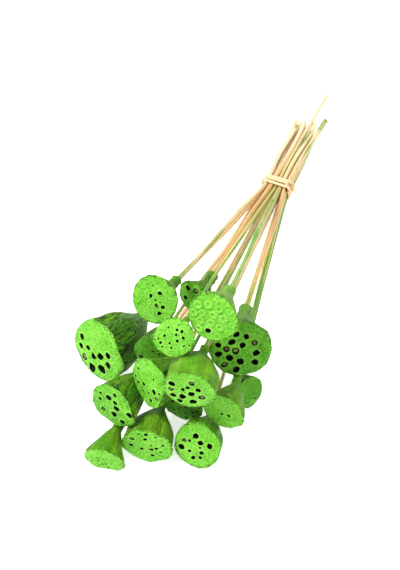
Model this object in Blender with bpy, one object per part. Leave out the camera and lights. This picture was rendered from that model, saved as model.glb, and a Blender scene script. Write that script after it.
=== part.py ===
"""Tied bunch of dyed lotus pods on reed sticks, lying on a flat surface.

Sixteen seed pods, each pushed on its own reed, with all the reeds tied by
one strand of raffia near their cut ends.  +Z is up and +Y runs from the
pods to the cut ends.  Sizes are in millimetres and are turned into metres
where a mesh is made.
"""
import math
import random

import bmesh
import bpy
from mathutils import Matrix, Vector

MM = 0.001
BUNCH_NAME = "lotus_pod_bunch"

# middle of the bunch's box on the floor, which becomes the origin
BOX_MIDDLE = (-17.3, 179.9)

# the tie: where it is, its strand, and the rows that the reeds lie in
TIE_X = -6.5
TIE_Y = 307.0
TIE_HALF = 7.0
STRAND_WIDTH = 4.4
STRAND_THICK = 1.6
STRAND_PITCH = 4.9
STRAND_TURNS = 2
STRAND_STEP = 15
STRAND_START = 40
SNAP_TO_FLOOR = 0.12
STRAND_CLEAR = 0.8
ROW_CLEAR = 0.4
REED_SPACE = 1.8
REED_RADIUS_MOST = 2.4
ROW_HEIGHT = 2 * REED_RADIUS_MOST + ROW_CLEAR
KNOT_HALF = (3.4, 7.2, 1.8)
KNOT_LIFT = 2.0
TAIL_LENGTH = 15.0
TAIL_WIDTH = 3.4
TAIL_THICK = 0.9
TAIL_WAYS = ((0.75, -0.62, -0.1), (0.1, -0.45, 0.85))
TAIL_TAPER = ((0.0, 0.8), (0.5, 1.0), (1.0, 0.6))

# the cut ends beyond the tie: each row leans its own way
END_Y = 396.0
END_SPREAD = 38.0
LONGEST_END_Y = 470.0
ROW_LEAN = (-3.0, 1.5, 5.0)
ROW_FAN = (1.05, 1.0, 1.25)
REED_SIDES_RESOLUTION = 2
REED_CROOK_AT = (0.3, 0.65)
REED_CROOK = 1.2
REED_SEED = 5

# a pod's side, from the rim (0) to the neck (1), as shares of its radius
SIDE_STATIONS = (0.0, 0.05, 0.13, 0.26, 0.42, 0.6, 0.8, 1.0)
BELL_SIDE = (1.0, 1.0, 0.92, 0.75, 0.57, 0.42, 0.25, 0.14)
BARREL_SIDE = (1.0, 1.02, 0.98, 0.94, 0.87, 0.70, 0.42, 0.15)
FLUTE_DEPTH = (0.035, 0.05, 0.055, 0.05, 0.035, 0.02, 0.0, 0.0)
OVAL = 0.03
WARP = 0.018
CURVE_STEPS = 40

# the curve down a pod's middle, in shares of its length: how far back the
# bend starts, and how far the neck lies back and along the reed
BEND_AT = 0.6
NECK_BACK = 0.55
NECK_ALONG = 0.5
FACE_HANDLE = 0.4
NECK_HANDLE = 0.3
REST_FLAT = 0.7

# the stub of stem behind the neck, with the reed's socket
NECK_SHARE = 0.13
STUB_LENGTH = 9.0
STUB_WALL = 1.0
STUB_COLLAR = 1.15
SOCKET_DEPTH = 7.0
SOCKET_CLEAR = 0.35

# a pod's face: rings of seed pits on a low dome
FACE_SHARES = (0.86, 0.5)
DOME = 0.07
RING_SHARES = {2: (0.3, 0.69), 3: (0.0, 0.4, 0.74)}
PIT_SIDES = 6
PIT_SIZES = (0.75, 1.2)
PIT_SLIP = 0.04
PIT_SWING = 14
PIT_ABOVE = 2.0
PIT_DEPTH_IN_RADII = 1.7
PIT_FLOOR_SHARE = 0.6
SEED_SHARE = 0.8
SEED_TALL = 1.5
BUMP_SHARE = 1.15
BUMP_TALL = 0.45
BUMP_SUNK = 0.1

LIME = (0.30, 0.62, 0.07)
LEAF = (0.17, 0.42, 0.05)
MOSS = (0.22, 0.47, 0.09)
STRAW = (0.83, 0.60, 0.33)
TAN = (0.72, 0.42, 0.17)
STAINED = (0.42, 0.50, 0.12)
RAFFIA = (0.86, 0.68, 0.42)
SKIN_ROUGHNESS = 0.62
CANE_ROUGHNESS = 0.55
RAFFIA_ROUGHNESS = 0.6
SHARP_ANGLE = 35.0


def pod(name, at, radius, yaw, pitch, **more):
    """One pod: the middle of its face, its radius and the way it faces.

    yaw turns the face from -Y towards +X and pitch lifts it, in degrees.
    length is in diameters, belly goes from bell (0) to barrel (1), rings
    counts the pits from the middle out, pit is a pit's radius as a share
    of the pod's, kinds are the shares of open and seeded pits (the rest
    are closed), and blank is an angle and half width without pits.
    dent is where a neighbour presses the pod in: an angle round its face,
    a half width and a depth as a share of its radius.
    """
    row = dict(name=name, at=at, radius=radius, yaw=yaw, pitch=pitch)
    row.update(length=1.0, belly=0.5, rings=(4, 9), pit=0.1)
    row.update(kinds=(1.0, 0.0), blank=None, dent=None, colour=LIME)
    row.update(more)
    return row


PODS = (
    pod("left", (-85.6, -8, 48), 34, -24, 16, belly=1.0, rings=(3, 9),
        pit=0.11, blank=(95, 70)),
    pod("back_left", (-31.1, 14.2, 129.9), 23.1, -2, 35, belly=0.4, length=0.95,
        kinds=(0.45, 0.1), colour=MOSS),
    pod("back_small", (-15.1, 70.4, 77.8), 16.8, -19, 17, belly=0.3, rings=(1, 7),
        kinds=(0.7, 0.0), colour=LEAF),
    pod("crown", (38.2, -10.1, 164.9), 24.1, 0, 23, belly=0.3, rings=(4, 9),
        kinds=(0.1, 0.1), pit=0.11),
    pod("upper", (7.4, -29.8, 142.9), 18.7, 11, 42, belly=0.5, length=0.95,
        rings=(4, 8)),
    pod("inner_left", (-25, -4.8, 70.6), 20.8, 6, 5, belly=0.5, length=0.95,
        rings=(3, 8), colour=LEAF),
    pod("centre", (-9.8, -48.3, 83.6), 26, -29, 17, belly=0.6, length=0.95,
        rings=(5, 10), dent=(0, 60, 0.38)),
    pod("dome", (34.6, -57.5, 110), 24, 11, 4, belly=1.3, rings=(4, 9),
        kinds=(0.8, 0.2), pit=0.11),
    pod("lower_left", (-40.6, -68.6, 56.6), 25.2, -12, 11, belly=0.6,
        length=1.05, rings=(3, 8), dent=(38, 55, 0.22), colour=MOSS),
    pod("bell", (-36.1, -107.3, 19.5), 19.9, 7, -5, belly=0.1, length=1.05,
        rings=(4, 9), pit=0.075),
    pod("front", (-1.4, -80.5, 25), 24.2, 12, 4, belly=1.0, length=0.95,
        rings=(4, 9)),
    pod("front_right", (44.2, -61.8, 26.6), 23.5, 3, 29, belly=1.0, length=0.95,
        rings=(4, 8)),
    pod("right", (60.6, -36.2, 59.1), 20.7, -3, 11, belly=0.4, length=0.95,
        rings=(3, 8), kinds=(0.25, 0.1)),
    pod("side_small", (68, 17.2, 23.8), 16.7, 60, 21, belly=0.6, length=1.05,
        rings=(2, 7), pit=0.08, colour=LEAF),
    pod("inner_small", (16, -29.9, 31.1), 19.5, 6, -1, belly=0.5, rings=(3, 8),
        colour=LEAF),
    pod("right_big", (55.8, 22.9, 83.5), 29.4, 26, 25, belly=0.4,
        rings=(1, 6, 10), kinds=(0.8, 0.2), pit=0.1, colour=LEAF),
)

# the reeds' rows in the tie, from the floor up and from -X to +X,
# each with its reed's radius and colour
REED_ROWS = (
    (("bell", 1.8, STRAW), ("lower_left", 2.1, STRAW), ("front", 1.9, STAINED),
     ("inner_small", 2.0, TAN), ("front_right", 1.9, STRAW),
     ("side_small", 1.6, STAINED)),
    (("left", 2.4, STRAW), ("inner_left", 1.8, TAN), ("centre", 2.2, STRAW),
     ("dome", 2.3, STRAW), ("right", 2.3, STAINED)),
    (("back_left", 2.2, STRAW), ("back_small", 2.4, TAN),
     ("upper", 1.5, STAINED), ("crown", 2.1, STAINED),
     ("right_big", 2.4, TAN)),
)
LONGEST_REED = "upper"


def to_metres(point):
    """A point of the working frame, in metres from the bunch's origin."""
    x, y, z = point
    return Vector(((x - BOX_MIDDLE[0]) * MM, (y - BOX_MIDDLE[1]) * MM, z * MM))


def clear_scene():
    for thing in list(bpy.data.objects):
        bpy.data.objects.remove(thing, do_unlink=True)


def new_collection(name):
    group = bpy.data.collections.new(name)
    bpy.context.scene.collection.children.link(group)
    return group


def make_material(name, colour, roughness):
    material = bpy.data.materials.new(name)
    material.use_nodes = True
    shader = material.node_tree.nodes["Principled BSDF"]
    shader.inputs["Base Color"].default_value = (*colour, 1.0)
    shader.inputs["Roughness"].default_value = roughness
    shader.inputs["Metallic"].default_value = 0.0
    return material


def object_from_bmesh(name, shape, group):
    """A mesh object whose vertices are given in millimetres."""
    for vertex in shape.verts:
        vertex.co = to_metres(vertex.co)
    mesh = bpy.data.meshes.new(name)
    shape.to_mesh(mesh)
    shape.free()
    thing = bpy.data.objects.new(name, mesh)
    group.objects.link(thing)
    return thing


def loft(shape, rings, start=None, end=None):
    """Join rings of equal count, closed by a point or by one flat face."""
    rows = [[shape.verts.new(point) for point in ring] for ring in rings]
    count = len(rows[0])
    for near, far in zip(rows, rows[1:]):
        for i in range(count):
            j = (i + 1) % count
            shape.faces.new((near[i], near[j], far[j], far[i]))
    for row, middle in ((rows[0], start), (rows[-1], end)):
        if middle is None:
            shape.faces.new(row)
            continue
        tip = shape.verts.new(middle)
        for i in range(count):
            shape.faces.new((row[i], row[(i + 1) % count], tip))
    bmesh.ops.recalc_face_normals(shape, faces=shape.faces)


def combine(base, others, operation):
    """One applied Boolean of a whole collection on base."""
    group = new_collection("joined_to_" + base.name)
    for other in others:
        group.objects.link(other)
    modifier = base.modifiers.new("combine", "BOOLEAN")
    modifier.operation = operation
    modifier.operand_type = "COLLECTION"
    modifier.collection = group
    modifier.solver = "EXACT"
    bpy.context.view_layer.update()
    seen = base.evaluated_get(bpy.context.evaluated_depsgraph_get())
    mesh = bpy.data.meshes.new_from_object(seen)
    base.modifiers.remove(modifier)
    base.data = mesh
    for other in list(group.objects):
        bpy.data.objects.remove(other, do_unlink=True)
    bpy.data.collections.remove(group)


def finish(thing, material):
    thing.data.materials.clear()
    thing.data.materials.append(material)
    thing.data.shade_smooth()
    thing.data.set_sharp_from_angle(angle=math.radians(SHARP_ANGLE))


def reed_slots():
    """Each reed's place in the tie: x, z, radius, row and colour."""
    slots = {}
    floor = STRAND_THICK + STRAND_CLEAR
    for number, row in enumerate(REED_ROWS):
        width = sum(2 * radius for _, radius, _ in row)
        width += REED_SPACE * (len(row) - 1)
        x = TIE_X - width / 2
        for name, radius, colour in row:
            z = floor + number * ROW_HEIGHT + radius
            slots[name] = dict(x=x + radius, z=z, radius=radius, row=number,
                               colour=colour)
            x += 2 * radius + REED_SPACE
    return slots


def face_frame(row):
    """Middle, right, up and outward directions of a pod's face."""
    yaw = math.radians(row["yaw"])
    pitch = math.radians(row["pitch"])
    out = Vector((math.sin(yaw) * math.cos(pitch),
                  -math.cos(yaw) * math.cos(pitch), math.sin(pitch)))
    right = Vector((math.cos(yaw), math.sin(yaw), 0.0))
    return Vector(row["at"]), right, out.cross(right), out


def pod_spine(row, slot):
    """Curve from the face's middle back to the neck, and the reed's way."""
    middle, _, _, out = face_frame(row)
    tall = 2 * row["radius"] * row["length"]
    aim = Vector((slot["x"], TIE_Y - TIE_HALF, slot["z"]))
    way = (aim - (middle - out * BEND_AT * tall)).normalized()
    neck = middle - out * NECK_BACK * tall + way * NECK_ALONG * tall
    way = (aim - neck).normalized()
    handles = (middle, middle - out * FACE_HANDLE * tall,
               neck - way * NECK_HANDLE * tall, neck)
    points = []
    for step in range(CURVE_STEPS + 1):
        t = step / CURVE_STEPS
        u = 1 - t
        points.append(handles[0] * u ** 3 + handles[1] * 3 * u * u * t
                      + handles[2] * 3 * u * t * t + handles[3] * t ** 3)
    return points, way


def along(points, share):
    """Point and direction at a share of a curve's length."""
    lengths = [0.0]
    for near, far in zip(points, points[1:]):
        lengths.append(lengths[-1] + (far - near).length)
    goal = share * lengths[-1]
    for i in range(len(points) - 1):
        if goal <= lengths[i + 1] or i == len(points) - 2:
            step = points[i + 1] - points[i]
            part = (goal - lengths[i]) / (lengths[i + 1] - lengths[i])
            return points[i] + step * part, step.normalized()
    return points[-1], (points[-1] - points[-2]).normalized()


def neck_radius(row, slot):
    return max(NECK_SHARE * row["radius"], slot["radius"] + SOCKET_CLEAR + STUB_WALL)


def dented(dent, angle):
    """How far a pod reaches at an angle (radians) where it is pressed in."""
    if not dent:
        return 1.0
    toward, half, deep = dent
    away = abs((math.degrees(angle) - toward + 180) % 360 - 180) / half
    return 1.0 - deep * math.cos(away * math.pi / 2) ** 2 if away < 1 else 1.0


def ring_points(middle, across, direction, radius, sides, flute, turns=None,
                dent=None):
    """A fluted, slightly oval ring round a point, square to a direction."""
    side = (across - direction * across.dot(direction)).normalized()
    other = side.cross(direction)
    points = []
    for i in range(sides):
        angle = 2 * math.pi * i / sides
        reach = radius * (1 + flute * (1 if i % 2 == 0 else -1))
        reach *= dented(dent, angle)
        if turns:
            reach *= 1 + OVAL * math.cos(2 * angle + turns[0])
            reach *= 1 + WARP * math.cos(3 * angle + turns[1])
        points.append(middle + side * reach * math.cos(angle)
                      + other * reach * math.sin(angle))
    return points, side


def warp_turns(row):
    """Where a pod's oval and its three-cornered warp point."""
    draw = random.Random("warp " + row["name"])
    return draw.uniform(0, 2 * math.pi), draw.uniform(0, 2 * math.pi)


def pod_sides(row):
    """Two sides for each lobe of the rim, one lobe for each outer pit."""
    return 2 * row["rings"][-1]


def seats(row):
    """Pit places: share of the radius, angle, radius and kind."""
    draw = random.Random(row["name"])
    places = []
    shares = RING_SHARES[len(row["rings"])]
    for share, count in zip(shares, row["rings"]):
        turn = 0.0 if share == shares[-1] else draw.uniform(0, 360)
        for i in range(count):
            angle = turn + 360 * i / count
            if share != shares[-1]:
                angle += draw.uniform(-PIT_SWING, PIT_SWING)
            reach = share + draw.uniform(-PIT_SLIP, PIT_SLIP)
            reach *= dented(row["dent"], math.radians(angle))
            size = row["pit"] * row["radius"] * draw.uniform(*PIT_SIZES)
            kind = draw.random()
            if row["blank"] and share == shares[-1]:
                away = (angle - row["blank"][0] + 180) % 360 - 180
                if abs(away) < row["blank"][1]:
                    continue
            open_share, seed_share = row["kinds"]
            name = "closed"
            if kind < open_share:
                name = "open"
            elif kind < open_share + seed_share:
                name = "seeded"
            places.append((reach, math.radians(angle), size, name))
    return places


def face_height(row, share):
    return DOME * row["radius"] * (1 - share * share)


def seat_matrix(row, reach, angle, lift):
    """Frame at a pit, lifted from the face along the outward direction."""
    middle, right, up, out = face_frame(row)
    flat = right * math.cos(angle) + up * math.sin(angle)
    place = middle + flat * reach * row["radius"]
    place += out * (face_height(row, reach) + lift)
    turn = Matrix((right, up, out)).transposed().to_4x4()
    return Matrix.Translation(place) @ turn


def pod_body(row, slot, group):
    """The pod's skin: face, fluted side, neck, stub and reed socket."""
    middle, right, up, out = face_frame(row)
    radius = row["radius"]
    sides = pod_sides(row)
    turns = warp_turns(row)
    rings = []
    for share in reversed(FACE_SHARES):
        lift = out * face_height(row, share)
        points, _ = ring_points(middle + lift, right, -out, radius * share,
                                sides, FLUTE_DEPTH[0] * share, turns,
                                row["dent"])
        rings.append(points)
    spine, way = pod_spine(row, slot)
    neck = neck_radius(row, slot)
    across = right
    for i, station in enumerate(SIDE_STATIONS):
        place, direction = along(spine, station)
        if i == 0:
            direction = -out
        belly = row["belly"]
        reach = radius * ((1 - belly) * BELL_SIDE[i] + belly * BARREL_SIDE[i])
        points, across = ring_points(place, across, direction,
                                     max(reach, neck), sides,
                                     FLUTE_DEPTH[i], turns,
                                     row["dent"] if reach > neck else None)
        rings.append(points)
    mouth = spine[-1] + way * STUB_LENGTH
    socket = slot["radius"] + SOCKET_CLEAR
    for place, reach in ((mouth, neck * STUB_COLLAR), (mouth, socket),
                         (mouth - way * SOCKET_DEPTH, socket)):
        points, across = ring_points(place, across, way, reach, sides, 0.0)
        rings.append(points)
    shape = bmesh.new()
    loft(shape, rings, start=middle + out * face_height(row, 0))
    for vertex in shape.verts:
        if vertex.co.z < REST_FLAT:
            vertex.co.z = 0.0
    return object_from_bmesh("pod_" + row["name"], shape, group)


def pit_cutters(row, group):
    """Tapered pits for the open and seeded places, as one cutter."""
    shape = bmesh.new()
    for reach, angle, size, kind in seats(row):
        if kind == "closed":
            continue
        deep = size * PIT_DEPTH_IN_RADII
        tall = deep + PIT_ABOVE
        where = seat_matrix(row, reach, angle, PIT_ABOVE - tall / 2)
        bmesh.ops.create_cone(shape, cap_ends=True, segments=PIT_SIDES,
                              radius1=size * PIT_FLOOR_SHARE, radius2=size,
                              depth=tall, matrix=where)
    return object_from_bmesh("pits_" + row["name"], shape, group)


def seeds_and_bumps(row, group):
    """Seeds sunk in the floors of pits, and bumps over closed places."""
    shape = bmesh.new()
    for reach, angle, size, kind in seats(row):
        if kind == "open":
            continue
        if kind == "seeded":
            ball = size * SEED_SHARE
            where = seat_matrix(row, reach, angle, -size * PIT_DEPTH_IN_RADII)
            tall = SEED_TALL
        else:
            ball = size * BUMP_SHARE
            where = seat_matrix(row, reach, angle, -BUMP_SUNK * ball)
            tall = BUMP_TALL
        where = where @ Matrix.Diagonal((1, 1, tall, 1))
        bmesh.ops.create_icosphere(shape, subdivisions=1, radius=ball,
                                   matrix=where)
    if not shape.verts:
        shape.free()
        return None
    return object_from_bmesh("seeds_" + row["name"], shape, group)


def build_pod(row, slot, parts, cutters):
    body = pod_body(row, slot, parts)
    combine(body, [pit_cutters(row, cutters)], "DIFFERENCE")
    seeds = seeds_and_bumps(row, cutters)
    if seeds:
        combine(body, [seeds], "UNION")
    finish(body, make_material("skin_" + row["name"], row["colour"],
                               SKIN_ROUGHNESS))


def build_reed(row, slot, draw, parts):
    """A reed from its socket in the pod, through the tie, to its cut end."""
    spine, way = pod_spine(row, slot)
    start = spine[-1] + way * (STUB_LENGTH - SOCKET_DEPTH + SOCKET_CLEAR)
    number = slot["row"]
    end_y = END_Y + draw.uniform(0, END_SPREAD)
    if row["name"] == LONGEST_REED:
        end_y = LONGEST_END_Y
    reach = (end_y - TIE_Y) / (END_Y + END_SPREAD - TIE_Y)
    aside = (slot["x"] - TIE_X) * (ROW_FAN[number] - 1) + ROW_LEAN[number]
    into_tie = Vector((slot["x"], TIE_Y - TIE_HALF, slot["z"]))
    crooks = []
    for share in REED_CROOK_AT:
        crook = Vector([draw.uniform(-REED_CROOK, REED_CROOK) for _ in "xyz"])
        crooks.append(start.lerp(into_tie, share) + crook)
    points = [start, spine[-1] + way * STUB_LENGTH, *crooks, into_tie,
              Vector((slot["x"], TIE_Y + TIE_HALF, slot["z"])),
              Vector((slot["x"] + aside * reach, end_y, slot["z"]))]
    name = "reed_" + row["name"]
    curve = bpy.data.curves.new(name, "CURVE")
    curve.dimensions = "3D"
    curve.bevel_depth = slot["radius"] * MM
    curve.bevel_resolution = REED_SIDES_RESOLUTION
    curve.use_fill_caps = True
    spline = curve.splines.new("POLY")
    spline.points.add(len(points) - 1)
    for target, point in zip(spline.points, points):
        target.co = (*to_metres(point), 1.0)
    thing = bpy.data.objects.new(name, curve)
    curve.materials.append(make_material("cane_" + row["name"],
                                         slot["colour"], CANE_ROUGHNESS))
    parts.objects.link(thing)


def taut_point(slots, degrees):
    """Where a strand drawn tight round the reeds lies in one direction."""
    angle = math.radians(degrees)
    away = Vector((math.cos(angle), 0.0, math.sin(angle)))
    outer = max(slots.values(), key=lambda slot: slot["x"] * away.x
                + slot["z"] * away.z + slot["radius"])
    place = Vector((outer["x"], 0.0, outer["z"]))
    return place + away * (outer["radius"] + STRAND_CLEAR), away


def build_tie(slots, parts, cutters):
    """Two turns of a flat strand, the knot over its ends and two tails."""
    rings = []
    first_y = TIE_Y - STRAND_PITCH * STRAND_TURNS / 2
    for degrees in range(0, 360 * STRAND_TURNS + 1, STRAND_STEP):
        inner, away = taut_point(slots, STRAND_START + degrees)
        outer = inner + away * STRAND_THICK
        if outer.z < SNAP_TO_FLOOR:
            outer.z = 0.0
        y = first_y + STRAND_PITCH * degrees / 360
        half = Vector((0.0, STRAND_WIDTH / 2, 0.0))
        level = Vector((0.0, y, 0.0))
        rings.append([inner + level - half, inner + level + half,
                      outer + level + half, outer + level - half])
    shape = bmesh.new()
    loft(shape, rings)
    strand = object_from_bmesh("raffia_tie", shape, parts)

    inner, away = taut_point(slots, STRAND_START)
    middle = inner + away * KNOT_LIFT + Vector((0.0, TIE_Y, 0.0))
    along_y = Vector((0.0, 1.0, 0.0))
    turn = Matrix((along_y.cross(away), along_y, away)).transposed().to_4x4()
    shape = bmesh.new()
    bmesh.ops.create_icosphere(
        shape, subdivisions=2, radius=1.0,
        matrix=Matrix.Translation(middle) @ turn
        @ Matrix.Diagonal((*KNOT_HALF, 1)))
    extras = [object_from_bmesh("knot", shape, cutters)]
    for number, way in enumerate(TAIL_WAYS):
        way = Vector(way).normalized()
        across = way.cross(away).normalized()
        thin = across.cross(way)
        rings = []
        for share, width in TAIL_TAPER:
            place = middle + way * TAIL_LENGTH * share
            wide = across * TAIL_WIDTH / 2 * width
            deep = thin * TAIL_THICK / 2
            rings.append([place - wide - deep, place + wide - deep,
                          place + wide + deep, place - wide + deep])
        shape = bmesh.new()
        loft(shape, rings)
        extras.append(object_from_bmesh("tail_%d" % number, shape, cutters))
    combine(strand, extras, "UNION")
    finish(strand, make_material("raffia", RAFFIA, RAFFIA_ROUGHNESS))


def main():
    clear_scene()
    parts = new_collection(BUNCH_NAME)
    cutters = new_collection("cutters")
    slots = reed_slots()
    draw = random.Random(REED_SEED)
    for row in PODS:
        slot = slots[row["name"]]
        build_pod(row, slot, parts, cutters)
        build_reed(row, slot, draw, parts)
    build_tie(slots, parts, cutters)


main()
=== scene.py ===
import math
import random

import bmesh
import bpy
import numpy as np
from mathutils import Matrix, Vector, noise
from mathutils.geometry import delaunay_2d_cdt


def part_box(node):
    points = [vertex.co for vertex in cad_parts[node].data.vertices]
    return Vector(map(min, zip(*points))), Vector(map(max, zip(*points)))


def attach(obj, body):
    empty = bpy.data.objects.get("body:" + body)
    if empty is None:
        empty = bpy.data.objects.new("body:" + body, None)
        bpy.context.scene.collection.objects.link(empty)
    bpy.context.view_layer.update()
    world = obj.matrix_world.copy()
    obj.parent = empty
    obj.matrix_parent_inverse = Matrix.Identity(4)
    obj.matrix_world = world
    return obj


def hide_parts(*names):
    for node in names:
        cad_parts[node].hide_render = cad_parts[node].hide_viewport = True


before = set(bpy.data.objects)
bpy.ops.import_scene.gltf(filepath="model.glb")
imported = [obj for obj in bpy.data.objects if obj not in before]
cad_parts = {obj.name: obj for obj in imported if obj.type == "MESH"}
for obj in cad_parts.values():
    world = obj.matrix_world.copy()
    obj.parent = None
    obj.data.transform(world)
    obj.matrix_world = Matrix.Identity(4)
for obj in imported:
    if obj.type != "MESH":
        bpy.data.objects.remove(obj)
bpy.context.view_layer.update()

# A tied bunch of green dyed lotus pods on reeds, lying down.
# Sizes are in millimetres in the bunch's own layout and become metres in the meshes.
mm = 0.001

# the camera that the photograph was read with
look = dict(place=(0.3163, -0.8666, 1.1075), azimuth=22.0, elevation=51.0, focal=1300.0, wide=400, tall=570)

# where the bunch lies, the tie, and the rules that all pods and reeds share
bunch = dict(
    boxMiddle=(-17.3, 179.9), tieX=-6.5, tieY=307.0, tieHalf=7.0, rowHeight=5.2, reedSpace=1.8, floorGap=2.4,
    endY=396.0, endSpread=38.0, longestEndY=470.0, rowLean=(-3.0, 1.5, 5.0), rowFan=(1.05, 1.0, 1.25),
    crookAt=(0.3, 0.65), crook=1.2, reedSeed=5, longest="upper",
)
podRule = dict(
    stations=(0.0, 0.05, 0.13, 0.26, 0.42, 0.6, 0.8, 1.0),
    bell=(1.0, 1.0, 0.92, 0.75, 0.57, 0.42, 0.25, 0.14),
    barrel=(1.0, 1.02, 0.98, 0.94, 0.87, 0.70, 0.42, 0.15),
    flute=(0.035, 0.05, 0.055, 0.05, 0.035, 0.02, 0.0, 0.0),
    oval=0.03, warp=0.018, dome=0.07, bendAt=0.6, neckBack=0.55, neckAlong=0.5, faceHandle=0.4, neckHandle=0.3,
    neckShare=0.13, stubLength=9.0, stubWall=1.0, stubCollar=1.15, socketDepth=7.0, socketClear=0.35,
    ringShares={2: (0.3, 0.69), 3: (0.0, 0.4, 0.74)},
)


def pod(at, radius, yaw, pitch, **more):
    row = dict(at=at, radius=radius, yaw=yaw, pitch=pitch, length=1.0, belly=0.5, rings=(4, 9), pit=0.1,
               slot="pod_lime", crease=1.0, tone=1.0, open=(), seeded=(), closed=(), fill=None, dent=None, frosted=0.0,
               stout=1.15)
    row.update(more)
    return row


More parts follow.
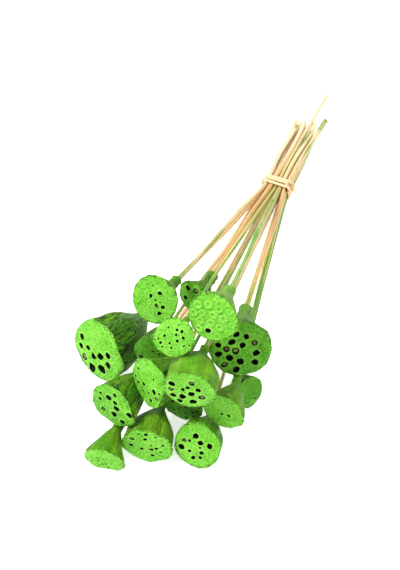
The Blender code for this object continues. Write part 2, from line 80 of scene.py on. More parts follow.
# Each pod: face middle, radius, yaw and pitch as in the solids, then its pits. A pit is read from the
# photograph as pixel x, pixel y and its radius as a share of the pod's; fill is the sector that
# other pods hide, where pits follow the ring rule; dent is where a neighbour presses the pod in.
pods = {
    "left": pod((-85.6, -8, 48), 34, -24, 16, belly=1.0, rings=(3, 9), pit=0.11, crease=1.6,
                open=((83, 336, 0.1), (82.5, 345, 0.09), (90, 347, 0.085), (95.5, 355, 0.11), (102.5, 355.5, 0.12),
                      (109.5, 355, 0.1), (93, 367.5, 0.155), (103.5, 368.5, 0.14), (109.5, 364.5, 0.1),
                      (112, 378, 0.035)),
                seeded=((86, 356, 0.12),)),
    "back_left": pod((-31.1, 14.2, 129.9), 23.1, -2, 35, stout=1.4, belly=0.4, length=0.95, slot="pod_moss", crease=0.6,
                     open=((160.5, 293, 0.085), (151.5, 295.5, 0.08), (163.5, 307, 0.085), (160, 313, 0.085),
                           (156.1, 299.6, 0.045), (160.7, 302.3, 0.035), (138.3, 303.5, 0.035), (153.2, 285.3, 0.04),
                           (148.2, 283.6, 0.035)),
                     seeded=((157, 305, 0.08),),
                     closed=((144.5, 286, 0.09), (138.5, 290.5, 0.09), (154.6, 290.2, 0.09), (164.6, 299.4, 0.11),
                             (149.9, 301.9, 0.11), (143.7, 304.6, 0.10), (164.8, 316, 0.10), (150, 311, 0.09),
                             (144, 297, 0.09))),
    "back_small": pod((-15.1, 70.4, 77.8), 16.8, -19, 17, stout=1.5, belly=0.3, rings=(1, 7), slot="pod_leaf",
                      open=((188.8, 287.7, 0.16), (186.4, 296.9, 0.14), (181.4, 301.4, 0.16)),
                      seeded=((196.5, 290.7, 0.18),), fill=(-45, 95)),
    "crown": pod((38.2, -10.1, 164.9), 24.1, 0, 23, stout=1.7, belly=0.3, pit=0.19, crease=0.35, frosted=0.7,
                 open=((208.7, 330, 0.11),),
                 closed=((198, 304, 0.18), (208.7, 304, 0.18), (192.3, 311.5, 0.17), (202.5, 312.2, 0.17),
                         (213.7, 314.3, 0.17), (200.6, 319.8, 0.17), (190.9, 321.3, 0.17), (211.6, 322.2, 0.17),
                         (223.7, 318.4, 0.18), (219.5, 308.9, 0.16), (219.9, 327.1, 0.16), (198, 328.8, 0.16))),
    "upper": pod((7.4, -29.8, 142.9), 18.7, 11, 42, length=0.95, rings=(4, 8),
                 open=((164.8, 335.4, 0.07), (160.7, 342.5, 0.07), (177.2, 329.6, 0.07), (182.2, 331.4, 0.08),
                       (176.4, 334.6, 0.065), (183.5, 337.9, 0.075), (177.4, 340.8, 0.075), (169.8, 342.9, 0.06),
                       (178.9, 324.7, 0.04), (183.9, 346, 0.05), (162.5, 346.5, 0.05), (189.5, 345.5, 0.05),
                       (171.5, 347.5, 0.06), (158.5, 338.5, 0.05), (168.5, 327, 0.05)),
                 closed=((189.7, 342, 0.08), (176.8, 347, 0.08), (164.6, 328.4, 0.06), (170, 333, 0.06))),
    "inner_left": pod((-25, -4.8, 70.6), 20.8, 6, 5, length=0.95, rings=(3, 8), slot="pod_leaf", crease=1.3,
                      open=((153.2, 350.4, 0.06), (137.3, 357, 0.11), (168.9, 353.4, 0.09), (174.8, 354.5, 0.05)),
                      closed=((140.3, 351.2, 0.08), (161, 351, 0.07)), fill=(-70, 100)),
    "centre": pod((-9.8, -48.3, 83.6), 26, -29, 17, dent=(0, 60, 0.38), belly=0.6, length=0.95, rings=(5, 10),
                  open=((138.8, 368, 0.055), (139.2, 381.9, 0.065), (145.2, 383.3, 0.075), (136.3, 375.5, 0.05),
                        (154.8, 379.2, 0.045), (144.2, 389.8, 0.05), (149.6, 392, 0.045), (155.2, 391.6, 0.095),
                        (159.8, 393.7, 0.045), (151.6, 399.9, 0.075)),
                  seeded=((157.5, 398.7, 0.085),),
                  closed=((157, 373, 0.08), (143.9, 365.9, 0.05), (142.5, 375.5, 0.06), (151.6, 384.6, 0.06))),
    "dome": pod((34.6, -57.5, 110), 24, 11, 4, belly=1.3, pit=0.11, crease=0.3,
                open=((167.8, 381.4, 0.13), (183.2, 388, 0.085), (188.1, 386.2, 0.085), (198.5, 388.9, 0.11),
                      (170.9, 394.5, 0.12), (183.2, 394.8, 0.14), (191.9, 392.2, 0.135), (180.3, 399.2, 0.12),
                      (193.5, 400.6, 0.14)),
                seeded=((191.9, 382.2, 0.12), (164.9, 387, 0.14), (202.4, 396.3, 0.135)),
                closed=((179.8, 381.4, 0.11),)),
    "lower_left": pod((-40.6, -68.6, 56.6), 25.2, -12, 11, dent=(38, 55, 0.22), belly=0.6, length=1.05, rings=(3, 8), slot="pod_moss",
                      crease=1.3,
                      open=((101.3, 392.5, 0.07), (100.5, 398, 0.08), (109.8, 396.9, 0.12), (115.2, 412.8, 0.13),
                            (117.8, 407.8, 0.12), (131.5, 416.1, 0.13), (123, 421.2, 0.11)),
                      seeded=((104.6, 407.8, 0.1),), closed=((124, 398, 0.12), (129, 404, 0.1)), fill=(60, 45)),
    "bell": pod((-36.1, -107.3, 19.5), 19.9, 7, -5, stout=1.7, belly=0.1, length=1.05, pit=0.075, crease=0.6,
                open=((92, 456.4, 0.055), (97.6, 456.4, 0.055), (102.8, 462.8, 0.07), (108.6, 465.3, 0.05),
                      (88, 457.8, 0.045), (104, 458, 0.04)),
                closed=((114, 462.3, 0.05), (115.8, 466, 0.05)), fill=(-90, 70)),
    "front": pod((-1.4, -80.5, 25), 24.2, 12, 4, belly=1, length=0.95, crease=0.7,
                 open=((138.7, 434, 0.05), (146.3, 434, 0.09), (145.3, 438.4, 0.075), (155.6, 436.5, 0.05),
                       (131.2, 443.7, 0.09), (142, 447, 0.075), (151.3, 443.9, 0.045), (152, 448.2, 0.08),
                       (156.7, 447.4, 0.075), (153, 454.1, 0.08), (160.8, 451, 0.05), (163.3, 445.2, 0.06)),
                 seeded=((132.1, 437.5, 0.1),), closed=((134.7, 449.3, 0.07), (148, 456.4, 0.06))),
    "front_right": pod((44.2, -61.8, 26.6), 23.5, 3, 29, belly=1, length=0.95, rings=(4, 8), crease=0.6,
                       open=((196.3, 435.3, 0.12), (190, 439.9, 0.065), (181.8, 446.1, 0.12), (201.2, 442.3, 0.115),
                             (210.1, 445.7, 0.12), (200.7, 446.9, 0.085), (190, 450.2, 0.07), (202.1, 452.3, 0.09),
                             (200.6, 457, 0.075), (193.8, 456.9, 0.09)),
                       seeded=((184.8, 439.3, 0.095),), closed=((212.6, 452.7, 0.1), (186.5, 453.5, 0.07))),
    "right": pod((60.6, -36.2, 59.1), 20.7, -3, 11, belly=0.4, length=0.95, rings=(3, 8), crease=0.5,
                 open=((222.7, 412.9, 0.075), (229.3, 415, 0.08)), closed=((209, 411.3, 0.05), (236, 417, 0.05))),
    "side_small": pod((68, 17.2, 23.8), 16.7, 60, 21, belly=0.6, length=1.05, rings=(2, 7), pit=0.08, slot="pod_leaf",
                      open=((238, 393.8, 0.06), (241.6, 391.8, 0.05), (240.4, 397.6, 0.07), (254.5, 397.8, 0.06),
                            (248.7, 397.6, 0.045), (241.4, 402.1, 0.045), (246, 402.8, 0.045)), frosted=0.3),
    "inner_small": pod((16, -29.9, 31.1), 19.5, 6, -1, rings=(3, 8), slot="pod_leaf", frosted=0.3,
                       open=((174, 408.6, 0.055), (179, 407.5, 0.055), (186.1, 406.7, 0.08), (179.8, 412.9, 0.055),
                             (185.8, 412.1, 0.065), (193.1, 411.2, 0.08), (186.5, 416.6, 0.07), (193.5, 416.2, 0.07)),
                       fill=(60, 110)),
    "right_big": pod((55.8, 22.9, 83.5), 29.4, 26, 25, stout=1.8, belly=0.4, rings=(1, 6, 10), slot="pod_leaf", frosted=0.9,
                     open=((235.8, 333.5, 0.11), (246.2, 335.6, 0.095), (215.1, 344.1, 0.1), (231.7, 341.2, 0.11),
                           (242.4, 344.1, 0.1), (256, 352, 0.115), (217.3, 354, 0.11), (240, 360.3, 0.12),
                           (254.6, 361.3, 0.115), (236, 369.4, 0.12), (229.3, 356.9, 0.115)),
                     seeded=((254.3, 342, 0.1), (226.1, 348.2, 0.11), (235.4, 349.7, 0.12), (223.8, 364.4, 0.11)),
                     closed=((244.9, 352, 0.09), (247, 366.9, 0.1)), fill=(160, 40)),
}

# reeds in the tie, bottom row first and from -X to +X: radius, slot and how far the dye runs up them
reedRows = (
    (("bell", 1.8, "reed_straw", 0.1), ("lower_left", 2.1, "reed_straw", 0.3), ("front", 1.9, "reed_stained", 0.9),
     ("inner_small", 2.0, "reed_tan", 0.2), ("front_right", 1.9, "reed_straw", 0.3),
     ("side_small", 1.6, "reed_stained", 1.0)),
    (("left", 2.4, "reed_straw", 0.2), ("inner_left", 1.8, "reed_tan", 0.3), ("centre", 2.2, "reed_straw", 0.4),
     ("dome", 2.3, "reed_straw", 0.35), ("right", 2.3, "reed_stained", 0.8)),
    (("back_left", 2.2, "reed_straw", 0.5), ("back_small", 2.4, "reed_tan", 0.1), ("upper", 1.5, "reed_stained", 0.6),
     ("crown", 2.1, "reed_stained", 0.7), ("right_big", 2.4, "reed_tan", 0.25)),
)


def metres(point):
    # a point or an array of points of the layout, in metres
    return (np.asarray(point, float) - (bunch["boxMiddle"][0], bunch["boxMiddle"][1], 0.0)) * mm


def meshPiece(name, points, faces):
    # an object with its faces turned outwards, from points in metres
    mesh = bpy.data.meshes.new(name)
    mesh.from_pydata(np.asarray(points).tolist(), [], faces)
    shape = bmesh.new()
    shape.from_mesh(mesh)
    bmesh.ops.recalc_face_normals(shape, faces=shape.faces)
    shape.to_mesh(mesh)
    shape.free()
    thing = bpy.data.objects.new(name, mesh)
    bpy.context.scene.collection.objects.link(thing)
    return thing


def setValues(thing, name, values):
    # a number or a vector for each point, for the materials to read
    values = np.asarray(values, np.float32)
    kind, field = ("FLOAT", "value") if values.ndim == 1 else ("FLOAT_VECTOR", "vector")
    attribute = thing.data.attributes.new(name, kind, "POINT")
    attribute.data.foreach_set(field, values.ravel())


def onNode(thing, material, node):
    # the finished piece stands for its solid and rides on the bunch
    thing.data.materials.clear()
    thing.data.materials.append(material)
    thing.data.shade_smooth()
    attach(thing, "root")
    if node:
        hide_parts(node)


# camera and stage

def makeCamera():
    turn, lift = math.radians(look["azimuth"]), math.radians(look["elevation"])
    back = Vector((math.sin(turn) * math.cos(lift), -math.cos(turn) * math.cos(lift), math.sin(lift)))
    lens = bpy.data.cameras.new("camera")
    lens.sensor_width = 36.0
    lens.lens = look["focal"] / look["tall"] * lens.sensor_width
    camera = bpy.data.objects.new("camera", lens)
    bpy.context.scene.collection.objects.link(camera)
    camera.location = look["place"]
    camera.rotation_mode = "QUATERNION"
    camera.rotation_quaternion = (-back).to_track_quat("-Z", "Y")
    bpy.context.scene.camera = camera
    bpy.context.view_layer.update()
    return camera


camera = makeCamera()


def pixelOnPlane(x, y, middle, out):
    # where the sight line of a photograph's pixel meets a plane, in layout millimetres
    turn = camera.rotation_quaternion.to_matrix()
    ray = turn @ Vector((x - look["wide"] / 2, look["tall"] / 2 - y, -look["focal"])).normalized()
    start = Vector(look["place"]) / mm + Vector((*bunch["boxMiddle"], 0.0))
    return start + ray * ((middle - start).dot(out) / ray.dot(out))


studio = dict(
    floorColour=(0.93, 0.93, 0.92), floorGlow=0.62, world=(1.0, 1.0, 1.0), worldStrength=0.45,
    lamps=(("key", (-0.75, -0.55, 1.5), 0.9, 30.0), ("top", (0.3, 0.6, 1.7), 1.2, 13.0),
           ("fill", (1.2, -1.1, 0.9), 1.2, 6.0)),
)


def makeStage():
    scene = bpy.context.scene
    scene.view_settings.view_transform = "Standard"
    world = bpy.data.worlds.new("studio")
    scene.world = world
    world.use_nodes = True
    sky = world.node_tree.nodes["Background"]
    sky.inputs["Color"].default_value = (*studio["world"], 1.0)
    sky.inputs["Strength"].default_value = studio["worldStrength"]
    for name, place, size, power in studio["lamps"]:
        lamp = bpy.data.lights.new(name, "AREA")
        lamp.shape = "DISK"
        lamp.size = size
        lamp.energy = power
        thing = bpy.data.objects.new(name, lamp)
        scene.collection.objects.link(thing)
        thing.location = place
        thing.rotation_euler = (Vector((0.0, 0.0, 0.05)) - Vector(place)).to_track_quat("-Z", "Y").to_euler()
    bpy.ops.mesh.primitive_plane_add(size=12.0, location=(0.0, 0.0, -0.0002))
    floor = bpy.context.object
    floor.name = "floor"
    material = bpy.data.materials.new("floor_paper")
    material.use_nodes = True
    shader = material.node_tree.nodes["Principled BSDF"]
    shader.inputs["Base Color"].default_value = (*studio["floorColour"], 1.0)
    shader.inputs["Roughness"].default_value = 0.9
    shader.inputs["Emission Color"].default_value = (1.0, 1.0, 1.0, 1.0)
    shader.inputs["Emission Strength"].default_value = studio["floorGlow"]
    floor.data.materials.append(material)


makeStage()
print("stage ready")


# shader groups: each gives masks, colours and heights that vary over the surface

def socket(tree, name, way, kind="NodeSocketFloat", value=None):
    made = tree.interface.new_socket(name=name, in_out=way, socket_type=kind)
    if value is not None:
        made.default_value = value
    return made


def node(tree, kind, inputs=(), **settings):
    # a shader or geometry node with its settings, and its inputs set or linked
    made = tree.nodes.new(kind)
    for name, value in settings.items():
        setattr(made, name, value)
    for key, value in dict(inputs).items():
        target = made.inputs[key]
        if isinstance(value, bpy.types.NodeSocket):
            tree.links.new(value, target)
        else:
            target.default_value = value
    return made


def maths(tree, operation, a, b=0.5, clamp=False):
    made = node(tree, "ShaderNodeMath", {0: a, 1: b}, operation=operation, use_clamp=clamp)
    return made.outputs[0]


def mixColour(tree, share, a, b, blend="MIX"):
    made = node(tree, "ShaderNodeMix", data_type="RGBA", blend_type=blend)
    made.clamp_factor = True
    for index, value in ((0, share), (6, a), (7, b)):
        if isinstance(value, bpy.types.NodeSocket):
            tree.links.new(value, made.inputs[index])
        else:
            made.inputs[index].default_value = value if index == 0 else (*value, 1.0)
    return made.outputs[2]


def ramp(tree, value, low, high):
    # a smooth step from 0 at low to 1 at high
    made = node(tree, "ShaderNodeMapRange", {"Value": value, "From Min": low, "From Max": high},
                interpolation_type="SMOOTHSTEP")
    return made.outputs["Result"]


def attributeOf(tree, name, output="Fac"):
    return node(tree, "ShaderNodeAttribute", attribute_name=name).outputs[output]


def noiseOf(tree, vector, scale, detail=3.0, rough=0.55, twist=0.0):
    made = node(tree, "ShaderNodeTexNoise", {"Vector": vector, "Scale": scale, "Detail": detail,
                                             "Roughness": rough, "Distortion": twist})
    return made.outputs["Fac"]


def makeBlotchGroup():
    # uneven dye: large pale and deep patches with small specks over them
    tree = bpy.data.node_groups.new("unevenDye", "ShaderNodeTree")
    socket(tree, "Vector", "INPUT", "NodeSocketVector")
    socket(tree, "Patch Scale", "INPUT", value=60.0)
    socket(tree, "Speck Scale", "INPUT", value=500.0)
    socket(tree, "Patches", "OUTPUT")
    socket(tree, "Specks", "OUTPUT")
    start = tree.nodes.new("NodeGroupInput")
    end = tree.nodes.new("NodeGroupOutput")
    wide = noiseOf(tree, start.outputs["Vector"], start.outputs["Patch Scale"], 4.0, 0.6, 0.4)
    fine = noiseOf(tree, start.outputs["Vector"], start.outputs["Speck Scale"], 3.0, 0.6)
    tree.links.new(ramp(tree, wide, 0.36, 0.66), end.inputs["Patches"])
    tree.links.new(ramp(tree, fine, 0.38, 0.68), end.inputs["Specks"])
    return tree


def makeStreakGroup():
    # fibres that run along a skin or a cane, from coordinates that follow it
    tree = bpy.data.node_groups.new("longFibres", "ShaderNodeTree")
    socket(tree, "Vector", "INPUT", "NodeSocketVector")
    socket(tree, "Fineness", "INPUT", value=6.0)
    socket(tree, "Stretch", "INPUT", value=0.15)
    socket(tree, "Streaks", "OUTPUT")
    socket(tree, "Fibres", "OUTPUT")
    socket(tree, "Folds", "OUTPUT")
    start = tree.nodes.new("NodeGroupInput")
    end = tree.nodes.new("NodeGroupOutput")
    stretch = node(tree, "ShaderNodeCombineXYZ", {"X": 1.0, "Y": 1.0, "Z": start.outputs["Stretch"]})
    drawn = node(tree, "ShaderNodeVectorMath", {0: start.outputs["Vector"], 1: stretch.outputs[0]},
                 operation="MULTIPLY").outputs[0]
    coarse = noiseOf(tree, drawn, start.outputs["Fineness"], 4.0, 0.6, 0.3)
    four = maths(tree, "MULTIPLY", start.outputs["Fineness"], 4.0)
    fine = noiseOf(tree, drawn, four, 3.0, 0.6)
    tree.links.new(ramp(tree, coarse, 0.36, 0.64), end.inputs["Streaks"])
    tree.links.new(fine, end.inputs["Fibres"])
    # thin fold lines where the coarse noise crosses its middle; the skin paints them dark as shade
    crossing = maths(tree, "ABSOLUTE", maths(tree, "SUBTRACT", coarse, 0.5))
    tree.links.new(ramp(tree, crossing, 0.05, 0.005), end.inputs["Folds"])
    return tree


blotchGroup = makeBlotchGroup()
streakGroup = makeStreakGroup()


def useGroup(tree, group, **inputs):
    return node(tree, "ShaderNodeGroup", {k.replace("_", " "): v for k, v in inputs.items()}, node_tree=group)


# pit is the near-black used for the pits' darker insides and the painted shade deep in them
skinLooks = {
    "pod_lime": dict(lip=(0.31, 0.73, 0.10), face=(0.155, 0.56, 0.028), pale=(0.245, 0.67, 0.062), side=(0.062, 0.27, 0.006),
                     glow=(0.20, 0.45, 0.012), deep=(0.018, 0.085, 0.004), pit=(0.008, 0.010, 0.004)),
    "pod_moss": dict(lip=(0.28, 0.69, 0.09), face=(0.14, 0.51, 0.027), pale=(0.225, 0.63, 0.058), side=(0.055, 0.24, 0.007),
                     glow=(0.16, 0.38, 0.012), deep=(0.018, 0.080, 0.005), pit=(0.008, 0.010, 0.004)),
    "pod_leaf": dict(lip=(0.18, 0.52, 0.045), face=(0.085, 0.335, 0.012), pale=(0.15, 0.50, 0.028), side=(0.046, 0.19, 0.006),
                     glow=(0.115, 0.30, 0.012), deep=(0.015, 0.065, 0.005), pit=(0.010, 0.009, 0.005)),
}


def makeSkin(name, colours):
    # dyed pod skin: lime face, streaky sides with painted shade in the creases and folds, greyish rim, and pits that
    # are darker inside with painted shade deepening to near-black
    material = bpy.data.materials.new("skin_" + name)
    material.use_nodes = True
    tree = material.node_tree
    shader = tree.nodes["Principled BSDF"]
    place = node(tree, "ShaderNodeTexCoord").outputs["Object"]
    grain = attributeOf(tree, "grain", "Vector")
    dye = useGroup(tree, blotchGroup, Vector=place, Patch_Scale=75.0, Speck_Scale=520.0)
    fibres = useGroup(tree, streakGroup, Vector=grain, Fineness=5.0, Stretch=0.3)

    face = mixColour(tree, dye.outputs["Patches"], colours["face"], colours["pale"])
    speck = maths(tree, "MULTIPLY", dye.outputs["Specks"], 0.3)
    face = mixColour(tree, speck, face, colours["side"])
    pores = ramp(tree, noiseOf(tree, place, 760.0, 1.0, 0.5), 0.62, 0.7)
    face = mixColour(tree, maths(tree, "MULTIPLY", pores, 0.75), face, colours["deep"])
    # painted shade: the face is darkened towards the side colour in its dimples, in the closed seats' middles and in
    # their moats
    face = mixColour(tree, maths(tree, "MULTIPLY", attributeOf(tree, "hollow"), 0.5), face, colours["side"])
    lip = attributeOf(tree, "lip")
    face = mixColour(tree, maths(tree, "MULTIPLY", lip, 0.65), face, colours["lip"])

    broad = noiseOf(tree, place, 38.0, 2.0, 0.5)
    side = mixColour(tree, ramp(tree, broad, 0.35, 0.68), colours["side"], colours["glow"])
    streak = maths(tree, "MULTIPLY", fibres.outputs["Streaks"], 0.35)
    side = mixColour(tree, streak, side, colours["glow"])
    side = mixColour(tree, maths(tree, "MULTIPLY", dye.outputs["Patches"], 0.4), side, colours["deep"])
    lines = ramp(tree, fibres.outputs["Fibres"], 0.54, 0.66)
    side = mixColour(tree, maths(tree, "MULTIPLY", lines, 0.35), side, colours["deep"])
    # painted shade: the side is darkened where the bump sinks into its folds, and near-black green along the fold edges
    folds = useGroup(tree, streakGroup, Vector=grain, Fineness=2.2, Stretch=0.35)
    wrinkled = attributeOf(tree, "wrinkled")
    side = mixColour(tree, maths(tree, "MULTIPLY", folds.outputs["Streaks"], maths(tree, "MULTIPLY", wrinkled, 0.5)),
                     side, colours["deep"])
    side = mixColour(tree, maths(tree, "MULTIPLY", folds.outputs["Folds"], wrinkled), side, (0.014, 0.036, 0.006))
    # painted shade: the crease mask darkens the creases, the groove behind the rim and the socket's collar and floor to
    # near-black green
    crease = attributeOf(tree, "crease")
    side = mixColour(tree, ramp(tree, crease, 0.15, 0.85), side, (0.016, 0.026, 0.007))
    frost = attributeOf(tree, "frost")
    side = mixColour(tree, maths(tree, "MULTIPLY", frost, ramp(tree, dye.outputs["Specks"], -0.2, 0.8)), side, (0.17, 0.34, 0.085))

    skin = mixColour(tree, attributeOf(tree, "face"), side, face)
    rim = maths(tree, "MULTIPLY", attributeOf(tree, "rim"), ramp(tree, dye.outputs["Specks"], 0.1, 0.7))
    skin = mixColour(tree, rim, skin, (0.06, 0.14, 0.015))
    # the pits are darker inside, with painted shade that deepens to near-black towards their floors
    skin = mixColour(tree, ramp(tree, attributeOf(tree, "pit"), 0.05, 0.5), skin, colours["pit"])
    tree.links.new(skin, shader.inputs["Base Color"])

    rough = node(tree, "ShaderNodeMapRange", {"Value": dye.outputs["Specks"], "To Min": 0.5, "To Max": 0.75})
    tree.links.new(rough.outputs["Result"], shader.inputs["Roughness"])
    height = maths(tree, "ADD", maths(tree, "MULTIPLY", fibres.outputs["Fibres"], 0.6), dye.outputs["Specks"])
    folded = maths(tree, "SUBTRACT", folds.outputs["Streaks"], maths(tree, "MULTIPLY", folds.outputs["Folds"], 0.8))
    height = maths(tree, "ADD", height, maths(tree, "MULTIPLY", maths(tree, "MULTIPLY", folded, wrinkled), -2.8))
    bump = node(tree, "ShaderNodeBump", {"Height": height, "Strength": 0.36, "Distance": 0.0008})
    tree.links.new(bump.outputs["Normal"], shader.inputs["Normal"])
    shader.inputs["Specular IOR Level"].default_value = 0.16
    return material


caneLooks = {
    "reed_straw": dict(base=(0.86, 0.64, 0.36), dark=(0.70, 0.46, 0.20)),
    "reed_tan": dict(base=(0.80, 0.52, 0.24), dark=(0.54, 0.31, 0.11)),
    "reed_stained": dict(base=(0.66, 0.56, 0.20), dark=(0.38, 0.38, 0.08)),
}


def makeCane(name, colours):
    # dried reed: long fibres, darker knuckles and green dye that has run along it
    material = bpy.data.materials.new("cane_" + name)
    material.use_nodes = True
    tree = material.node_tree
    shader = tree.nodes["Principled BSDF"]
    place = node(tree, "ShaderNodeTexCoord").outputs["Object"]
    grain = attributeOf(tree, "grain", "Vector")
    fibres = useGroup(tree, streakGroup, Vector=grain, Fineness=1.6, Stretch=0.12)
    dye = useGroup(tree, blotchGroup, Vector=place, Patch_Scale=28.0, Speck_Scale=900.0)
    colour = mixColour(tree, fibres.outputs["Streaks"], colours["base"], colours["dark"])
    colour = mixColour(tree, maths(tree, "MULTIPLY", attributeOf(tree, "knuckle"), 0.6), colour, colours["dark"])
    colour = mixColour(tree, attributeOf(tree, "bleach"), colour, (0.93, 0.72, 0.50))
    stain = attributeOf(tree, "stain")
    runs = useGroup(tree, streakGroup, Vector=grain, Fineness=0.9, Stretch=0.25)
    broken = maths(tree, "ADD", maths(tree, "MULTIPLY", runs.outputs["Streaks"], 0.9),
                   maths(tree, "MULTIPLY", dye.outputs["Patches"], 0.35))
    spread = maths(tree, "ADD", stain, maths(tree, "SUBTRACT", broken, 0.6))
    colour = mixColour(tree, ramp(tree, spread, 0.2, 0.8), colour, mixColour(
        tree, fibres.outputs["Streaks"], (0.13, 0.37, 0.02), (0.07, 0.24, 0.012)))
    tree.links.new(colour, shader.inputs["Base Color"])
    shader.inputs["Roughness"].default_value = 0.5
    bump = node(tree, "ShaderNodeBump", {"Height": fibres.outputs["Fibres"], "Strength": 0.4, "Distance": 0.0004})
    tree.links.new(bump.outputs["Normal"], shader.inputs["Normal"])
    return material


def makeRaffia():
    # flat dried palm strip with ribs along it
    material = bpy.data.materials.new("raffia_strip")
    material.use_nodes = True
    tree = material.node_tree
    shader = tree.nodes["Principled BSDF"]
    grain = attributeOf(tree, "grain", "Vector")
    fibres = useGroup(tree, streakGroup, Vector=grain, Fineness=2.2, Stretch=0.08)
    colour = mixColour(tree, fibres.outputs["Streaks"], (0.93, 0.74, 0.46), (0.78, 0.52, 0.25))
    tree.links.new(colour, shader.inputs["Base Color"])
    shader.inputs["Roughness"].default_value = 0.55
    bump = node(tree, "ShaderNodeBump", {"Height": fibres.outputs["Fibres"], "Strength": 0.5, "Distance": 0.0005})
    tree.links.new(bump.outputs["Normal"], shader.inputs["Normal"])
    return material


skins = {name: makeSkin(name, colours) for name, colours in skinLooks.items()}
canes = {name: makeCane(name, colours) for name, colours in caneLooks.items()}
raffia = makeRaffia()
print("materials ready")


# the layout rules that the solids follow

def reedSlots():
    slots = {}
    for number, row in enumerate(reedRows):
        width = sum(2 * reed[1] for reed in row) + bunch["reedSpace"] * (len(row) - 1)
        x = bunch["tieX"] - width / 2
        for name, radius, slot, stain in row:
            z = bunch["floorGap"] + number * bunch["rowHeight"] + radius
            slots[name] = dict(x=x + radius, z=z, radius=radius, row=number, slot=slot, stain=stain)
            x += 2 * radius + bunch["reedSpace"]
    return slots


def faceFrame(row):
    yaw, pitch = math.radians(row["yaw"]), math.radians(row["pitch"])
    out = Vector((math.sin(yaw) * math.cos(pitch), -math.cos(yaw) * math.cos(pitch), math.sin(pitch)))
    right = Vector((math.cos(yaw), math.sin(yaw), 0.0))
    return Vector(row["at"]), right, out.cross(right), out


def podSpine(row, slot):
    # handles of the curve from the face's middle to the neck, and the reed's way
    middle, _, _, out = faceFrame(row)
    tall = 2 * row["radius"] * row["length"]
    aim = Vector((slot["x"], bunch["tieY"] - bunch["tieHalf"], slot["z"]))
    way = (aim - (middle - out * podRule["bendAt"] * tall)).normalized()
    neck = middle - out * podRule["neckBack"] * tall + way * podRule["neckAlong"] * tall
    way = (aim - neck).normalized()
    return (middle, middle - out * podRule["faceHandle"] * tall, neck - way * podRule["neckHandle"] * tall, neck), way


def spineAt(handles, shares):
    # places and directions at shares of the curve's length
    h = [np.array(p) for p in handles]
    t = np.linspace(0.0, 1.0, 400)[:, None]
    u = 1 - t
    line = h[0] * u ** 3 + h[1] * 3 * u * u * t + h[2] * 3 * u * t * t + h[3] * t ** 3
    ways = (h[1] - h[0]) * 3 * u * u + (h[2] - h[1]) * 6 * u * t + (h[3] - h[2]) * 3 * t * t
    lengths = np.concatenate(([0.0], np.cumsum(np.linalg.norm(np.diff(line, axis=0), axis=1))))
    goals = np.asarray(shares) * lengths[-1]
    places = np.stack([np.interp(goals, lengths, line[:, i]) for i in range(3)], 1)
    ways = np.stack([np.interp(goals, lengths, ways[:, i]) for i in range(3)], 1)
    return places, ways / np.linalg.norm(ways, axis=1)[:, None]


def smoothThrough(stations, values, at):
    # a smooth curve through the stations' values
    stations, values = np.asarray(stations), np.asarray(values)
    slopes = np.gradient(values, stations)
    i = np.clip(np.searchsorted(stations, at, side="right") - 1, 0, len(stations) - 2)
    step = stations[i + 1] - stations[i]
    t = (at - stations[i]) / step
    return ((1 + 2 * t) * (1 - t) ** 2 * values[i] + t * (1 - t) ** 2 * step * slopes[i]
            + t * t * (3 - 2 * t) * values[i + 1] + t * t * (t - 1) * step * slopes[i + 1])


def neckRadius(row, slot):
    return max(podRule["neckShare"] * row["radius"], slot["radius"] + podRule["socketClear"] + podRule["stubWall"])


def warpTurns(name):
    draw = random.Random("warp " + name)
    return draw.uniform(0, 2 * math.pi), draw.uniform(0, 2 * math.pi)


# fine pods

podDetail = dict(
    around=260, rowsPerBody=76, faceStep=0.036, pitSides=16, scallop=0.115, scallops=6, rimLobes=0.006,
    uneven=0.06, wave=0.07, overhang=0.065, flare=1.03, nick=0.05, nickWide=0.05, rimLip=0.014,
    groove=0.03, grooveAt=0.028, grooveWide=0.016, creaseDeep=0.042, creaseWide=0.045, wander=0.12, wrinkle=0.012,
    pebble=0.009, hollow=0.014, pitRise=0.28, pitWide=1.16, mostReach=0.93,
)


